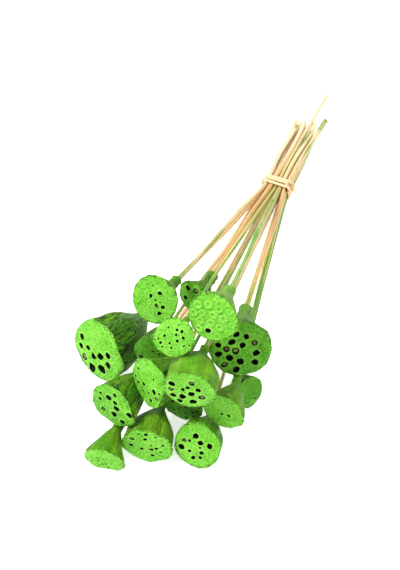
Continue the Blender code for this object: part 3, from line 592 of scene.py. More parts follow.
def pitsOf(name, row):
    # pits as places on the face in shares of its radius: u, v, radius, kind
    middle, right, up, out = faceFrame(row)
    places = []
    for kind in ("open", "seeded", "closed"):
        for x, y, size in row[kind]:
            spot = pixelOnPlane(x, y, middle, out) - middle
            size *= 1.0 if kind == "closed" else podDetail["pitWide"]
            places.append([spot.dot(right) / row["radius"], spot.dot(up) / row["radius"], size, kind])
    draw = random.Random("hidden " + name)
    if row["fill"]:
        shares = podRule["ringShares"][len(row["rings"])]
        for share, count in zip(shares, row["rings"]):
            turn = draw.uniform(0, 360)
            for i in range(count):
                angle = turn + 360 * i / count
                away = (angle - row["fill"][0] + 180) % 360 - 180
                reach = share + draw.uniform(-0.04, 0.04)
                size = row["pit"] * draw.uniform(0.7, 1.1)
                if abs(away) < row["fill"][1] and share > 0.2:
                    angle = math.radians(angle)
                    places.append([reach * math.cos(angle), reach * math.sin(angle), size, "open"])
    kept = []
    for u, v, size, kind in places:
        reach = math.hypot(u, v)
        most = podDetail["mostReach"] - size * (1.0 if kind == "closed" else 1.15)
        if reach > most:
            u, v = u * most / reach, v * most / reach
        near = min([math.hypot(u - a, v - b) - s for a, b, s, _ in kept], default=1.0)
        if near < size + 0.02:
            size = min(size, near - 0.02)
        if size > 0.025:
            kept.append((u, v, size, kind))
    # faint closed seats wherever the face would be bare
    for share, count in ((0.0, 1), (0.22, 5), (0.42, 9), (0.62, 13), (0.8, 17)):
        turn = draw.uniform(0, 2 * math.pi)
        for i in range(count):
            angle = turn + 2 * math.pi * (i + draw.uniform(-0.2, 0.2)) / count
            reach = share + draw.uniform(-0.04, 0.04)
            u, v = reach * math.cos(angle), reach * math.sin(angle)
            size = row["pit"] * draw.uniform(0.6, 0.95)
            near = min([math.hypot(u - a, v - b) - s for a, b, s, _ in kept], default=1.0)
            if near > size * 1.35:
                kept.append((u, v, size, "faint"))
    return kept


def dented(dent, angles):
    # how far a pod reaches, as a share, where a neighbour presses it in
    if not dent:
        return np.ones_like(angles)
    toward, half, deep = dent
    away = np.abs((np.degrees(angles) - toward + 180) % 360 - 180) / half
    return 1.0 - deep * np.where(away < 1, np.cos(away * math.pi / 2) ** 2, 0.0)


def rimReach(row, turns, angles, seed, creases):
    # the rim's distance from the middle: lobed, slightly oval, scalloped and nicked where creases start
    lobes = row["rings"][-1]
    reach = podDetail["flare"] + podDetail["rimLobes"] * np.cos(lobes * angles)
    reach *= dented(row["dent"], angles)
    reach *= 1 + podRule["oval"] * np.cos(2 * angles + turns[0])
    reach *= 1 + podRule["warp"] * np.cos(3 * angles + turns[1])
    for angle, strength, _, wide, _ in creases:
        away = (angles - angle + math.pi) % (2 * math.pi) - math.pi
        reach -= podDetail["nick"] * min(row["crease"], 1.4) * strength * np.exp(-(away / (podDetail["nickWide"] * wide)) ** 2)
    wide = np.array([noise.noise(Vector((math.cos(a) * 1.6, math.sin(a) * 1.6, seed + 2))) for a in angles])
    slip = np.array([noise.noise(Vector((math.cos(a) * 2.4, math.sin(a) * 2.4, seed + 5))) for a in angles])
    small = np.abs(np.sin(podDetail["scallops"] * angles + 5.0 * slip)) ** 0.7 * (0.5 + 1.4 * np.abs(slip))
    fine = np.array([noise.noise(Vector((math.cos(a) * 8, math.sin(a) * 8, seed + 9))) for a in angles])
    return reach + podDetail["uneven"] * wide - podDetail["scallop"] * np.clip(0.85 - small - 0.8 * fine, -0.2, 1.1)


def rimWave(angles, seed):
    # how far the rim bends forwards or back, in shares of the radius
    slow = np.array([noise.noise(Vector((math.cos(a) * 1.7, math.sin(a) * 1.7, seed + 31))) for a in angles])
    quick = np.array([noise.noise(Vector((math.cos(a) * 7, math.sin(a) * 7, seed + 33))) for a in angles])
    return podDetail["wave"] * (slow + 0.4 * quick)


def faceHeight(row, u, v, pits, seed):
    # the face's height in shares of the radius: dome, pebbles, lips round pits and raised closed seats; also the lip
    # mask and a mask of the dimples and moats, for painted shade on the face
    share = np.hypot(u, v) / dented(row["dent"], np.arctan2(v, u))
    height = podRule["dome"] * (1 - share ** 2) + share ** 3 * rimWave(np.arctan2(v, u), seed)
    height += podDetail["rimLip"] * np.exp(-((share - 0.95) / 0.035) ** 2)
    height += podDetail["pebble"] * np.array([noise.noise(Vector((a * 9, b * 9, seed)))
                                              + 0.7 * noise.noise(Vector((a * 24, b * 24, seed))) for a, b in zip(u, v)])
    lip = np.zeros(len(u))
    dimples = np.array([noise.noise(Vector((a * 9 + 3, b * 9, seed + 4))) for a, b in zip(u, v)])
    # the dimples sink the face and also mark it for painted shade
    hollow = np.clip((-dimples - 0.15) / 0.3, 0, 1)
    height -= podDetail["hollow"] * hollow
    for pu, pv, size, kind in pits:
        far = np.hypot(u - pu, v - pv) / size
        if kind in ("closed", "faint"):
            strong = 0.8 if kind == "closed" else 0.7
            ring = strong * np.exp(-((far - 0.78) / 0.22) ** 2)
            middle = strong * np.exp(-(far / 0.3) ** 2)
            moat = strong * np.exp(-((far - 1.22) / 0.2) ** 2)
            height += size * (0.34 * ring - 0.3 * middle - 0.2 * moat)
            # the closed seats' middles and moats join the mask for painted shade
            hollow = np.maximum(hollow, np.maximum(middle, 0.75 * moat))
        else:
            ring = np.exp(-((far - 1.12) / 0.22) ** 2)
            height += size * podDetail["pitRise"] * ring
        lip = np.maximum(lip, ring)
    return height, lip, hollow * (1 - 0.8 * lip)


def ringOf(pu, pv, size, count, turn=0.0, oval=0.0):
    angles = turn + np.arange(count) * 2 * math.pi / count
    reach = size * (1 + oval * np.cos(2 * (angles - turn)))
    return np.stack([pu + reach * np.cos(angles), pv + reach * np.sin(angles)], 1)


def facePlan(pits, rim, draw):
    # flat points, the triangles between them and the ring of points round each open pit
    step = podDetail["faceStep"]
    count = len(rim)
    points = [rim]
    edges = [(i, (i + 1) % count) for i in range(count)]
    rings, extras = [], []
    total = count
    for pu, pv, size, kind in pits:
        turn = draw.uniform(0, math.pi)
        if kind in ("closed", "faint"):
            extras += [ringOf(pu, pv, size * s, 12, turn) for s in (0.3, 0.6, 0.85, 1.15, 1.4)]
            extras.append(np.array([[pu, pv]]))
            continue
        oval = draw.uniform(0.04, 0.24)
        ring = ringOf(pu, pv, size, podDetail["pitSides"], turn, oval)
        rings.append((total, len(ring), pu, pv, size, kind))
        edges += [(total + i, total + (i + 1) % len(ring)) for i in range(len(ring))]
        points.append(ring)
        total += len(ring)
        extras += [ringOf(pu, pv, size * s, podDetail["pitSides"], turn, oval) for s in (1.14, 1.32, 1.6)]
    rows = int(1 / step) + 2
    grid = []
    for j in range(-rows, rows + 1):
        for i in range(-rows, rows + 1):
            grid.append(((i + (j % 2) * 0.5 + draw.uniform(-0.15, 0.15)) * step,
                         (j * 0.866 + draw.uniform(-0.15, 0.15)) * step))
    grid = np.array(grid)
    for pu, pv, size, kind in pits:
        grid = grid[np.hypot(grid[:, 0] - pu, grid[:, 1] - pv) > size * 1.6 + step * 0.4]
    inner = rim * 0.975
    shell = rim * 0.945
    free = np.concatenate(extras + [inner[::2], shell[1::2], grid]) if extras else np.concatenate([inner, grid])
    angles = np.arctan2(free[:, 1], free[:, 0]) % (2 * math.pi)
    edge = np.interp(angles, np.arange(count + 1) * 2 * math.pi / count,
                     np.append(np.hypot(rim[:, 0], rim[:, 1]), np.hypot(*rim[0])))
    free = free[np.hypot(free[:, 0], free[:, 1]) < edge * 0.98]
    for _, _, pu, pv, size, _ in rings:  # nothing stands inside another pit
        free = free[np.hypot(free[:, 0] - pu, free[:, 1] - pv) > size * 1.13]
    flat = np.concatenate(points + [free])
    made = delaunay_2d_cdt([Vector(p) for p in flat], edges, [list(range(count))], 1, 1e-6, True)
    spots = np.array([tuple(p) for p in made[0]])
    firstOf = {}
    for new, olds in enumerate(made[3]):
        for old in olds:
            firstOf[old] = new
    triangles = []
    middles = np.array([spots[list(t)].mean(0) for t in made[2]])
    keep = np.ones(len(middles), bool)
    for first, ringCount, pu, pv, size, _ in rings:
        keep &= np.hypot(middles[:, 0] - pu, middles[:, 1] - pv) > size * 0.93
    triangles = [t for t, good in zip(made[2], keep) if good]
    return spots, triangles, rings, firstOf


def buildPod(name, row, slot, number):
    radius = row["radius"]
    middle, right, up, out = (np.array(v) for v in faceFrame(row))
    draw = random.Random("fine " + name)
    seed = number * 7.3
    turns = warpTurns(name)
    around = podDetail["around"]
    angles = np.arange(around) * 2 * math.pi / around
    lobes = row["rings"][-1]
    creases = []
    for i in range(lobes):
        for extra in range(1 + draw.choice((2, 3, 3) if row["crease"] > 1 else (0, 1))):
            angle = 2 * math.pi * (i + 0.5) / lobes + draw.uniform(-0.2, 0.2) + extra * draw.uniform(0.12, 0.3)
            creases.append((angle, draw.uniform(0.5, 1.0) * (0.65 if extra else 1.0), draw.uniform(0.5, 0.95),
                            draw.uniform(0.7, 1.5), draw.uniform(0, 6.3)))
    rim = rimReach(row, turns, angles, seed, creases)
    pits = pitsOf(name, row)
    rimFlat = np.stack([rim * np.cos(angles), rim * np.sin(angles)], 1)
    flat, triangles, rings, firstOf = facePlan(pits, rimFlat, draw)
    height, lip, hollow = faceHeight(row, flat[:, 0], flat[:, 1], pits, seed)
    share = np.hypot(flat[:, 0], flat[:, 1])

    # one list of points with their values: place, face, lip, rim, crease, pit, frost, grain
    places = [middle + radius * (flat[:, :1] * right + flat[:, 1:] * up + height[:, None] * out)]
    values = dict(face=[np.ones(len(flat))], lip=[lip], hollow=[hollow], pit=[np.zeros(len(flat))], crease=[np.zeros(len(flat))],
                  rim=[np.clip((share - 0.93) / 0.06, 0, 1)], frost=[np.zeros(len(flat))], wrinkled=[np.zeros(len(flat))],
                  grain=[np.concatenate([flat * 3, np.full((len(flat), 1), seed)], 1)])
    faces = [tuple(t) for t in triangles]
    total = len(flat)

    def addPoints(points, **given):
        nonlocal total
        places.append(points)
        for key in values:
            value = given.get(key, 0.0)
            wide = (len(points), 3) if key == "grain" else (len(points),)
            values[key].append(np.broadcast_to(value, wide).astype(float))
        total += len(points)
        return list(range(total - len(points), total))

    def joinRings(near, far):
        count = len(near)
        for i in range(count):
            j = (i + 1) % count
            faces.append((near[i], near[j], far[j], far[i]))

    # pits: a rolled lip, a throat and a floor; the pit mask grows with depth, so the inside is darker and painted shade
    # deepens to near-black towards the floor
    for first, count, pu, pv, size, kind in rings:
        near = [firstOf[first + i] for i in range(count)]
        ring = flat[near] - (pu, pv)
        top = height[near].mean()
        for scale, deep, dark in ((0.93, 0.12, 0.25), (0.95, 0.5, 0.8), (0.9, 1.1, 1.0), (0.6, 1.5, 1.0)):
            place = np.array((pu, pv)) + ring * scale
            low = top - size * deep
            points = middle + radius * (place[:, :1] * right + place[:, 1:] * up + low * out)
            far = addPoints(points, face=1.0, pit=dark)
            joinRings(near, far)
            near = far
        bottom = addPoints((middle + radius * (pu * right + pv * up + (top - size * 1.6) * out))[None], face=1.0, pit=1.0)
        faces.extend((near[i], near[(i + 1) % count], bottom[0]) for i in range(count))

    # the side, ring by ring from the rim to the neck
    handles, way = podSpine(row, slot)
    stations = np.linspace(0.0, 1.0, podDetail["rowsPerBody"]) ** 1.25
    spots, ways = spineAt(handles, stations)
    bell = smoothThrough(podRule["stations"], podRule["bell"], stations)
    barrel = smoothThrough(podRule["stations"], podRule["barrel"], stations)
    profile = bell + (barrel - bell) * row["belly"]
    flute = smoothThrough(podRule["stations"], podRule["flute"], stations)
    neck = neckRadius(row, slot)
    across = Vector(right)
    wave = rimWave(angles, seed)
    near = [firstOf[i] for i in range(around)]
    # the groove behind the rim is only deep in places
    broken = np.array([noise.noise(Vector((math.cos(a) * 2.6, math.sin(a) * 2.6, seed + 20))) for a in angles])
    broken = np.clip(0.5 + 1.8 * broken, 0.0, 1.0)
    for k, station in enumerate(stations):
        direction = Vector(ways[k])
        across = (across - direction * across.dot(direction)).normalized()
        other = across.cross(direction)
        fade = min(1.0, (1.0 - station) / 0.15)
        shape = (1 + flute[k] * np.cos(lobes * angles)) * dented(row["dent"], angles)
        shape *= 1 - podDetail["overhang"] * math.exp(-(station / 0.3) ** 2)
        shape *= 1 + fade * podRule["oval"] * np.cos(2 * angles + turns[0])
        shape *= 1 + fade * podRule["warp"] * np.cos(3 * angles + turns[1])
        dark = np.zeros(around)
        for angle, strength, end, wide, turn in creases:
            wandering = angle + podDetail["wander"] * (math.sin(3.1 * station + turn) + 0.3 * math.sin(15 * station + 3 * turn))
            away = (angles - wandering + math.pi) % (2 * math.pi) - math.pi
            here = strength * max(0.0, 1 - (station / end) ** 3) * (0.7 + 0.3 * math.sin(21 * station + 5 * turn))
            groove = here * np.exp(-(away / (podDetail["creaseWide"] * wide)) ** 2)
            dark = np.maximum(dark, groove)
        shape -= row["crease"] * podDetail["creaseDeep"] * dark * fade
        wrinkles = np.array([noise.noise(Vector((math.cos(a) * 7, math.sin(a) * 7, station * 3 + seed)))
                             + 0.6 * noise.noise(Vector((math.cos(a) * 18, math.sin(a) * 18, station * 7 + seed)))
                             for a in angles])
        shape += podDetail["wrinkle"] * row["crease"] * wrinkles * fade * min(1.0, station / 0.03)
        behind = math.exp(-((station - podDetail["grooveAt"]) / podDetail["grooveWide"]) ** 2)
        behind *= broken
        shape -= podDetail["groove"] * behind
        blend = min(1.0, station / 0.03)
        shape = rim * (1 - blend) + shape * blend
        reach = np.maximum(radius * profile[k] * shape, neck * row["stout"])
        circle = reach[:, None] * (np.cos(angles)[:, None] * np.array(across) + np.sin(angles)[:, None] * np.array(other))
        circle += (radius * wave * max(0.0, 1 - station / 0.16) ** 2)[:, None] * out
        if k == 0:
            continue
        values_ = np.stack([np.cos(angles) * 2, np.sin(angles) * 2, np.full(around, station * 4 + seed)], 1)
        frost = row["frosted"] * max(0.0, min(1.0, (station - 0.25) / 0.3))
        # the crease mask from crease depth and the groove behind the rim, for painted shade in the skin
        far = addPoints(spots[k] + circle, crease=np.clip(dark * min(row["crease"], 1.0) + 0.8 * behind, 0, 1),
                        rim=max(0.0, 1 - station / 0.02), frost=frost, grain=values_,
                        wrinkled=min(1.0, row["crease"] / 1.6))
        joinRings(near, far)
        near = far

    # the stub behind the neck and the socket that the reed sits in
    wayIn = np.array(way)
    neckSpot = np.array(handles[3])
    other = np.array(across.cross(Vector(way)))
    side = np.array(across)
    socketReach = slot["radius"] + podRule["socketClear"]
    neck *= row["stout"]
    collar = neck * podRule["stubCollar"]
    steps = [(0.12, neck * 1.10), (0.2, neck * 1.02), (0.5, neck * 1.0), (0.8, neck * 1.06), (0.97, collar * 0.98),
             (1.0, collar * 0.9), (1.0, socketReach)]
    steps.append((1.0 - podRule["socketDepth"] / podRule["stubLength"], socketReach))
    for share, reach in steps:
        rough = 1 + 0.03 * np.cos(5 * angles + seed) * (reach > socketReach)
        spot = neckSpot + wayIn * podRule["stubLength"] * share
        circle = (reach * rough)[:, None] * (np.cos(angles)[:, None] * side + np.sin(angles)[:, None] * other)
        values_ = np.stack([np.cos(angles) * 2, np.sin(angles) * 2, np.full(around, (1 + share * 0.2) * 4 + seed)], 1)
        # the crease mask gives painted shade at the collar's end, the socket's mouth and its floor
        far = addPoints(spot + circle, grain=values_, crease=0.25 if share > 0.9 else 0.0, frost=row["frosted"] * 0.8)
        joinRings(near, far)
        near = far
    bottom = addPoints(spot[None], crease=0.5)
    faces.extend((near[i], near[(i + 1) % around], bottom[0]) for i in range(around))

    points = metres(np.concatenate(places))
    low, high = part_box("pod_" + name)
    points = np.clip(points, np.array(low), np.array(high))
    thing = meshPiece("lotus_pod_" + name, points, faces)
    for key, parts in values.items():
        setValues(thing, key, np.concatenate(parts))
    onNode(thing, skins[row["slot"]], "pod_" + name)
    seeds = [(middle + radius * (u * right + v * up + (podRule["dome"] * (1 - u * u - v * v) - size * 0.75) * out),
              size * radius, out) for u, v, size, kind in pits if kind == "seeded"]
    return seeds


slots = reedSlots()
seedPlaces = []
for number, (name, row) in enumerate(pods.items()):
    seedPlaces += buildPod(name, row, slots[name], number)
print("pods ready", len(seedPlaces), "seeds")


# seeds: one shrivelled seed set on each marked point by a node tree

seedLook = dict(share=0.78, tall=1.25, seed=3, shades=((0.055, 0.03, 0.012), (0.16, 0.22, 0.05)))


def makeSeedTree():
    tree = bpy.data.node_groups.new("seedsOnPoints", "GeometryNodeTree")
    socket(tree, "Geometry", "INPUT", "NodeSocketGeometry")
    socket(tree, "Share", "INPUT", value=0.8)
    socket(tree, "Tall", "INPUT", value=1.3)
    socket(tree, "Seed", "INPUT", "NodeSocketInt", 0)
    socket(tree, "Material", "INPUT", "NodeSocketMaterial")
    socket(tree, "Geometry", "OUTPUT", "NodeSocketGeometry")
    start, end = tree.nodes.new("NodeGroupInput"), tree.nodes.new("NodeGroupOutput")
    ball = node(tree, "GeometryNodeMeshIcoSphere", {"Radius": 1.0, "Subdivisions": 3})
    dent = node(tree, "ShaderNodeTexNoise", {"Scale": 1.6, "Detail": 2.0})
    amount = maths(tree, "MULTIPLY", maths(tree, "SUBTRACT", dent.outputs["Fac"], 0.5), 0.45)
    normal = node(tree, "GeometryNodeInputNormal").outputs[0]
    push = node(tree, "ShaderNodeVectorMath", {0: normal, "Scale": amount}, operation="SCALE").outputs[0]
    shaped = node(tree, "GeometryNodeSetPosition", {"Geometry": ball.outputs["Mesh"], "Offset": push})
    size = node(tree, "GeometryNodeInputNamedAttribute", {"Name": "size"}, data_type="FLOAT").outputs["Attribute"]
    facing = node(tree, "GeometryNodeInputNamedAttribute", {"Name": "facing"}, data_type="FLOAT_VECTOR").outputs["Attribute"]
    wide = maths(tree, "MULTIPLY", size, start.outputs["Share"])
    scale = node(tree, "ShaderNodeCombineXYZ", {"X": wide, "Y": wide, "Z": maths(tree, "MULTIPLY", wide, start.outputs["Tall"])})
    turn = node(tree, "FunctionNodeAlignRotationToVector", {"Vector": facing}, axis="Z")
    spin = node(tree, "FunctionNodeRandomValue", {"Min": (0.0, 0.0, 0.0), "Max": (0.35, 0.35, 6.28), "Seed": start.outputs["Seed"]},
                data_type="FLOAT_VECTOR")
    turned = node(tree, "FunctionNodeRotateRotation", {"Rotation": turn.outputs["Rotation"], "Rotate By": spin.outputs["Value"]},
                  rotation_space="LOCAL")
    placed = node(tree, "GeometryNodeInstanceOnPoints", {"Points": start.outputs["Geometry"], "Instance": shaped.outputs["Geometry"],
                                                         "Rotation": turned.outputs["Rotation"], "Scale": scale.outputs[0]})
    real = node(tree, "GeometryNodeRealizeInstances", {"Geometry": placed.outputs["Instances"]})
    painted = node(tree, "GeometryNodeSetMaterial", {"Geometry": real.outputs["Geometry"], "Material": start.outputs["Material"]})
    tree.links.new(painted.outputs["Geometry"], end.inputs["Geometry"])
    return tree


def useTree(thing, tree, **inputs):
    # the tree's result as a plain mesh on the object
    modifier = thing.modifiers.new(tree.name, "NODES")
    modifier.node_group = tree
    for item in tree.interface.items_tree:
        key = item.name.replace(" ", "")
        if item.in_out == "INPUT" and key in inputs:
            modifier[item.identifier] = inputs[key]
    bpy.context.view_layer.update()
    seen = thing.evaluated_get(bpy.context.evaluated_depsgraph_get())
    mesh = bpy.data.meshes.new_from_object(seen)
    thing.modifiers.remove(modifier)
    thing.data = mesh
    return thing


def makeSeedMaterial():
    material = bpy.data.materials.new("dry_seed")
    material.use_nodes = True
    tree = material.node_tree
    shader = tree.nodes["Principled BSDF"]
    place = node(tree, "ShaderNodeTexCoord").outputs["Object"]
    dye = useGroup(tree, blotchGroup, Vector=place, Patch_Scale=150.0, Speck_Scale=900.0)
    colour = mixColour(tree, dye.outputs["Patches"], *seedLook["shades"])
    tree.links.new(colour, shader.inputs["Base Color"])
    shader.inputs["Roughness"].default_value = 0.45
    bump = node(tree, "ShaderNodeBump", {"Height": dye.outputs["Specks"], "Strength": 0.3, "Distance": 0.0004})
    tree.links.new(bump.outputs["Normal"], shader.inputs["Normal"])
    return material


def buildSeeds():
    mesh = bpy.data.meshes.new("seeds")
    mesh.from_pydata([tuple(metres(place)) for place, _, _ in seedPlaces], [], [])
    thing = bpy.data.objects.new("seeds", mesh)
    bpy.context.scene.collection.objects.link(thing)
    setValues(thing, "size", [size * mm for _, size, _ in seedPlaces])
    setValues(thing, "facing", [tuple(out) for _, _, out in seedPlaces])
    material = makeSeedMaterial()
    useTree(thing, makeSeedTree(), Share=seedLook["share"], Tall=seedLook["tall"], Seed=seedLook["seed"], Material=material)
    onNode(thing, material, None)


buildSeeds()
print("seeds ready")


# reeds: one node tree sweeps a knuckled, slightly crooked cane along each path

caneRule = dict(
    step=2.0, sides=14, knuckleGap=62.0, knuckleSize=0.09, knuckleWide=2.2, uneven=0.10, slant=0.8, bend=2.2, bendSeed=4,
    fatter=0.7, fatterFrom=85.0, shorter=dict(back_left=16.0, left=9.0, back_small=4.0), dyedEnds=("right_big", "crown"),
)


def makeCaneTree():
    tree = bpy.data.node_groups.new("caneAlongPath", "GeometryNodeTree")
    socket(tree, "Geometry", "INPUT", "NodeSocketGeometry")
    socket(tree, "Radius", "INPUT", value=0.002)
    socket(tree, "Step", "INPUT", value=0.002)
    socket(tree, "Sides", "INPUT", "NodeSocketInt", 12)
    socket(tree, "Knuckle Gap", "INPUT", value=0.06)
    socket(tree, "Knuckle Start", "INPUT", value=0.02)
    socket(tree, "Knuckle Wide", "INPUT", value=0.002)
    socket(tree, "Knuckle Size", "INPUT", value=0.08)
    socket(tree, "Uneven", "INPUT", value=0.05)
    socket(tree, "Fatter", "INPUT", value=0.0)
    socket(tree, "Fatter From", "INPUT", value=0.01)
    socket(tree, "Material", "INPUT", "NodeSocketMaterial")
    socket(tree, "Geometry", "OUTPUT", "NodeSocketGeometry")
    start, end = tree.nodes.new("NodeGroupInput"), tree.nodes.new("NodeGroupOutput")
    line = node(tree, "GeometryNodeMeshToCurve", {"Mesh": start.outputs["Geometry"]})
    kind = node(tree, "GeometryNodeCurveSplineType", {"Curve": line.outputs["Curve"]}, spline_type="CATMULL_ROM")
    even = node(tree, "GeometryNodeResampleCurve", {"Curve": kind.outputs["Curve"], "Length": start.outputs["Step"]},
                mode="LENGTH")
    length = node(tree, "GeometryNodeSplineParameter").outputs["Length"]
    phase = maths(tree, "ADD", length, start.outputs["Knuckle Start"])
    away = maths(tree, "PINGPONG", phase, maths(tree, "MULTIPLY", start.outputs["Knuckle Gap"], 0.5))
    knuckle = node(tree, "ShaderNodeMapRange", {"Value": away, "From Min": 0.0, "From Max": start.outputs["Knuckle Wide"],
                                                "To Min": 1.0, "To Max": 0.0}, interpolation_type="SMOOTHSTEP").outputs["Result"]
    wobble = node(tree, "ShaderNodeTexNoise", {"Scale": 45.0, "Detail": 2.0}).outputs["Fac"]
    wobble = maths(tree, "MULTIPLY", maths(tree, "SUBTRACT", wobble, 0.5), start.outputs["Uneven"])
    share = maths(tree, "ADD", maths(tree, "MULTIPLY", knuckle, start.outputs["Knuckle Size"]), wobble)
    # the cane is thinner inside the pod's socket
    grown = ramp(tree, length, start.outputs["Fatter From"], maths(tree, "MULTIPLY", start.outputs["Fatter From"], 2.0))
    wide = maths(tree, "ADD", start.outputs["Radius"], maths(tree, "MULTIPLY", grown, start.outputs["Fatter"]))
    radius = maths(tree, "MULTIPLY", wide, maths(tree, "ADD", share, 0.98))
    kept = node(tree, "GeometryNodeStoreNamedAttribute", {"Geometry": even.outputs["Curve"], "Name": "knuckle", "Value": knuckle},
                data_type="FLOAT", domain="POINT")
    kept = node(tree, "GeometryNodeStoreNamedAttribute", {"Geometry": kept.outputs["Geometry"], "Name": "along", "Value": length},
                data_type="FLOAT", domain="POINT")
    sized = node(tree, "GeometryNodeSetCurveRadius", {"Curve": kept.outputs["Geometry"], "Radius": radius})
    circle = node(tree, "GeometryNodeCurvePrimitiveCircle", {"Resolution": start.outputs["Sides"], "Radius": 1.0}, mode="RADIUS")
    ring = node(tree, "GeometryNodeStoreNamedAttribute", {"Geometry": circle.outputs["Curve"], "Name": "ring",
                                                          "Value": node(tree, "GeometryNodeInputPosition").outputs[0]},
                data_type="FLOAT_VECTOR", domain="POINT")
    swept = node(tree, "GeometryNodeCurveToMesh", {"Curve": sized.outputs["Curve"], "Profile Curve": ring.outputs["Geometry"],
                                                   "Fill Caps": True})
    if "Scale" in swept.inputs:
        tree.links.new(radius, swept.inputs["Scale"])
    real = node(tree, "GeometryNodeRealizeInstances", {"Geometry": swept.outputs["Mesh"]})
    painted = node(tree, "GeometryNodeSetMaterial", {"Geometry": real.outputs["Geometry"], "Material": start.outputs["Material"]})
    tree.links.new(painted.outputs["Geometry"], end.inputs["Geometry"])
    return tree


def reedPaths():
    draw = random.Random(bunch["reedSeed"])
    bends = random.Random(caneRule["bendSeed"])
    paths = {}
    for name, row in pods.items():
        slot = slots[name]
        handles, way = podSpine(row, slot)
        neck = handles[3]
        start = neck + way * (podRule["stubLength"] - podRule["socketDepth"] + podRule["socketClear"])
        endY = bunch["endY"] + draw.uniform(0, bunch["endSpread"])
        if name == bunch["longest"]:
            endY = bunch["longestEndY"]
        reach = (endY - bunch["tieY"]) / (bunch["endY"] + bunch["endSpread"] - bunch["tieY"])
        number = slot["row"]
        aside = (slot["x"] - bunch["tieX"]) * (bunch["rowFan"][number] - 1) + bunch["rowLean"][number]
        intoTie = Vector((slot["x"], bunch["tieY"] - bunch["tieHalf"], slot["z"]))
        crooks = []
        for share in bunch["crookAt"]:
            crook = Vector([draw.uniform(-bunch["crook"], bunch["crook"]) for _ in "xyz"])
            crooks.append(start.lerp(intoTie, share) + crook)
        outOfTie = Vector((slot["x"], bunch["tieY"] + bunch["tieHalf"], slot["z"]))
        end = Vector((slot["x"] + aside * reach, endY, slot["z"]))
        end += (outOfTie - end).normalized() * caneRule["shorter"].get(name, 0.0)
        bend = Vector((bends.uniform(-1, 1) * caneRule["bend"], 0.0, bends.uniform(0, 0.5) * caneRule["bend"]))
        paths[name] = [start, neck + way * podRule["stubLength"], *crooks, intoTie, outOfTie,
                       outOfTie.lerp(end, bends.uniform(0.35, 0.65)) + bend, end]
    return paths


def buildReed(name, path, tree):
    slot = slots[name]
    draw = random.Random("reed " + name)
    mesh = bpy.data.meshes.new("reed")
    mesh.from_pydata([tuple(metres(p)) for p in path], [(i, i + 1) for i in range(len(path) - 1)], [])
    thing = bpy.data.objects.new("cane_" + name, mesh)
    bpy.context.scene.collection.objects.link(thing)
    gap = caneRule["knuckleGap"] * draw.uniform(0.8, 1.5)
    useTree(thing, tree, Radius=slot["radius"] * mm, Fatter=caneRule["fatter"] * mm,
            FatterFrom=caneRule["fatterFrom"] * mm, Step=caneRule["step"] * mm, Sides=caneRule["sides"],
            KnuckleGap=gap * mm, KnuckleStart=draw.uniform(0, gap) * mm, KnuckleWide=caneRule["knuckleWide"] * mm,
            KnuckleSize=caneRule["knuckleSize"], Uneven=caneRule["uneven"], Material=canes[slot["slot"]])
    mesh = thing.data
    count = len(mesh.vertices)
    along, ring, place = np.zeros(count, np.float32), np.zeros(count * 3, np.float32), np.zeros(count * 3, np.float32)
    mesh.attributes["along"].data.foreach_get("value", along)
    mesh.attributes["ring"].data.foreach_get("vector", ring)
    mesh.vertices.foreach_get("co", place)
    ring, place = ring.reshape(-1, 3), place.reshape(-1, 3)
    # the far end is cut at a slant, and the cut only takes material away
    last = along > along.max() - 1e-5
    turn = draw.uniform(0, 6.28)
    slanted = 1 - (ring[:, 0] * math.cos(turn) + ring[:, 1] * math.sin(turn))
    way = np.array((path[-1] - path[-2]).normalized())
    place[last] -= (slanted[last] * slot["radius"] * mm * caneRule["slant"])[:, None] * way
    low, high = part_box("reed_" + name)
    mesh.vertices.foreach_set("co", np.clip(place, np.array(low), np.array(high)).astype(np.float32).ravel())
    grain = np.stack([ring[:, 0], ring[:, 1], along * 30 + draw.uniform(0, 90)], 1)
    setValues(thing, "grain", grain)
    # the dye is strongest by the pod and near a few spots further up
    reach = slot["stain"]
    far = along / along.max()
    stain = np.clip(1.1 - far / max(reach, 0.02), 0, 1) * 0.8 + (reach > 0.75) * 0.3
    if name in caneRule["dyedEnds"]:
        stain = np.maximum(stain, 0.55 * np.clip((far - 0.9) / 0.06, 0, 1))
    setValues(thing, "stain", stain)
    # the cut ends are the palest
    setValues(thing, "bleach", 0.75 * np.clip((far - 0.66) / 0.26, 0, 1))
    mesh.update()
    onNode(thing, canes[slot["slot"]], "reed_" + name)


caneTree = makeCaneTree()
for name, path in reedPaths().items():
    buildReed(name, path, caneTree)
print("reeds ready")


# the tie: flat raffia strips wound round the reeds, a knot and its tails

tieRule = dict(
    thick=1.2, clear=1.4, ribs=9, step=5, knotAt=40, knotLift=2.0, tailLong=14.5,
    # each strand: width, then its course as degrees round the reeds, shift along them and lift
    strands=((4.4, ((180, -6.0, 0.0), (150, -2.0, 0.1), (120, 3.0, 0.3), (95, 4.8, 0.5), (65, 3.2, 0.8), (35, -2.4, 0.8),
                    (5, -6.0, 0.2), (-60, -5.0, 0.0), (-120, -4.6, 0.0), (-180, -6.0, 0.0))),
             (4.2, ((180, -2.0, 0.3), (150, -2.0, 0.7), (110, -3.2, 1.0), (80, -5.4, 0.8), (50, -7.6, 1.2), (15, -4.0, 0.8),
                    (-30, 2.0, 0.1), (-90, 2.4, 0.0), (-180, -2.0, 0.3))),
             (3.4, ((170, -6.0, 1.0), (140, -1.6, 1.5), (110, 0.6, 2.0), (75, -1.4, 2.4), (45, -5.4, 2.4), (15, -7.2, 1.2)))),
    # loops of the knot: width, half sizes along the reeds, across and off them, tilt, lift and place along the reeds
    loops=((3.4, 8.4, 5.6, 1.4, 24.0, 0.8, -4.6), (3.2, 6.6, 5.2, 1.4, -36.0, 2.0, -3.6)),
    tails=((0.75, -0.62, -0.1), (0.1, -0.45, 0.85)),
)


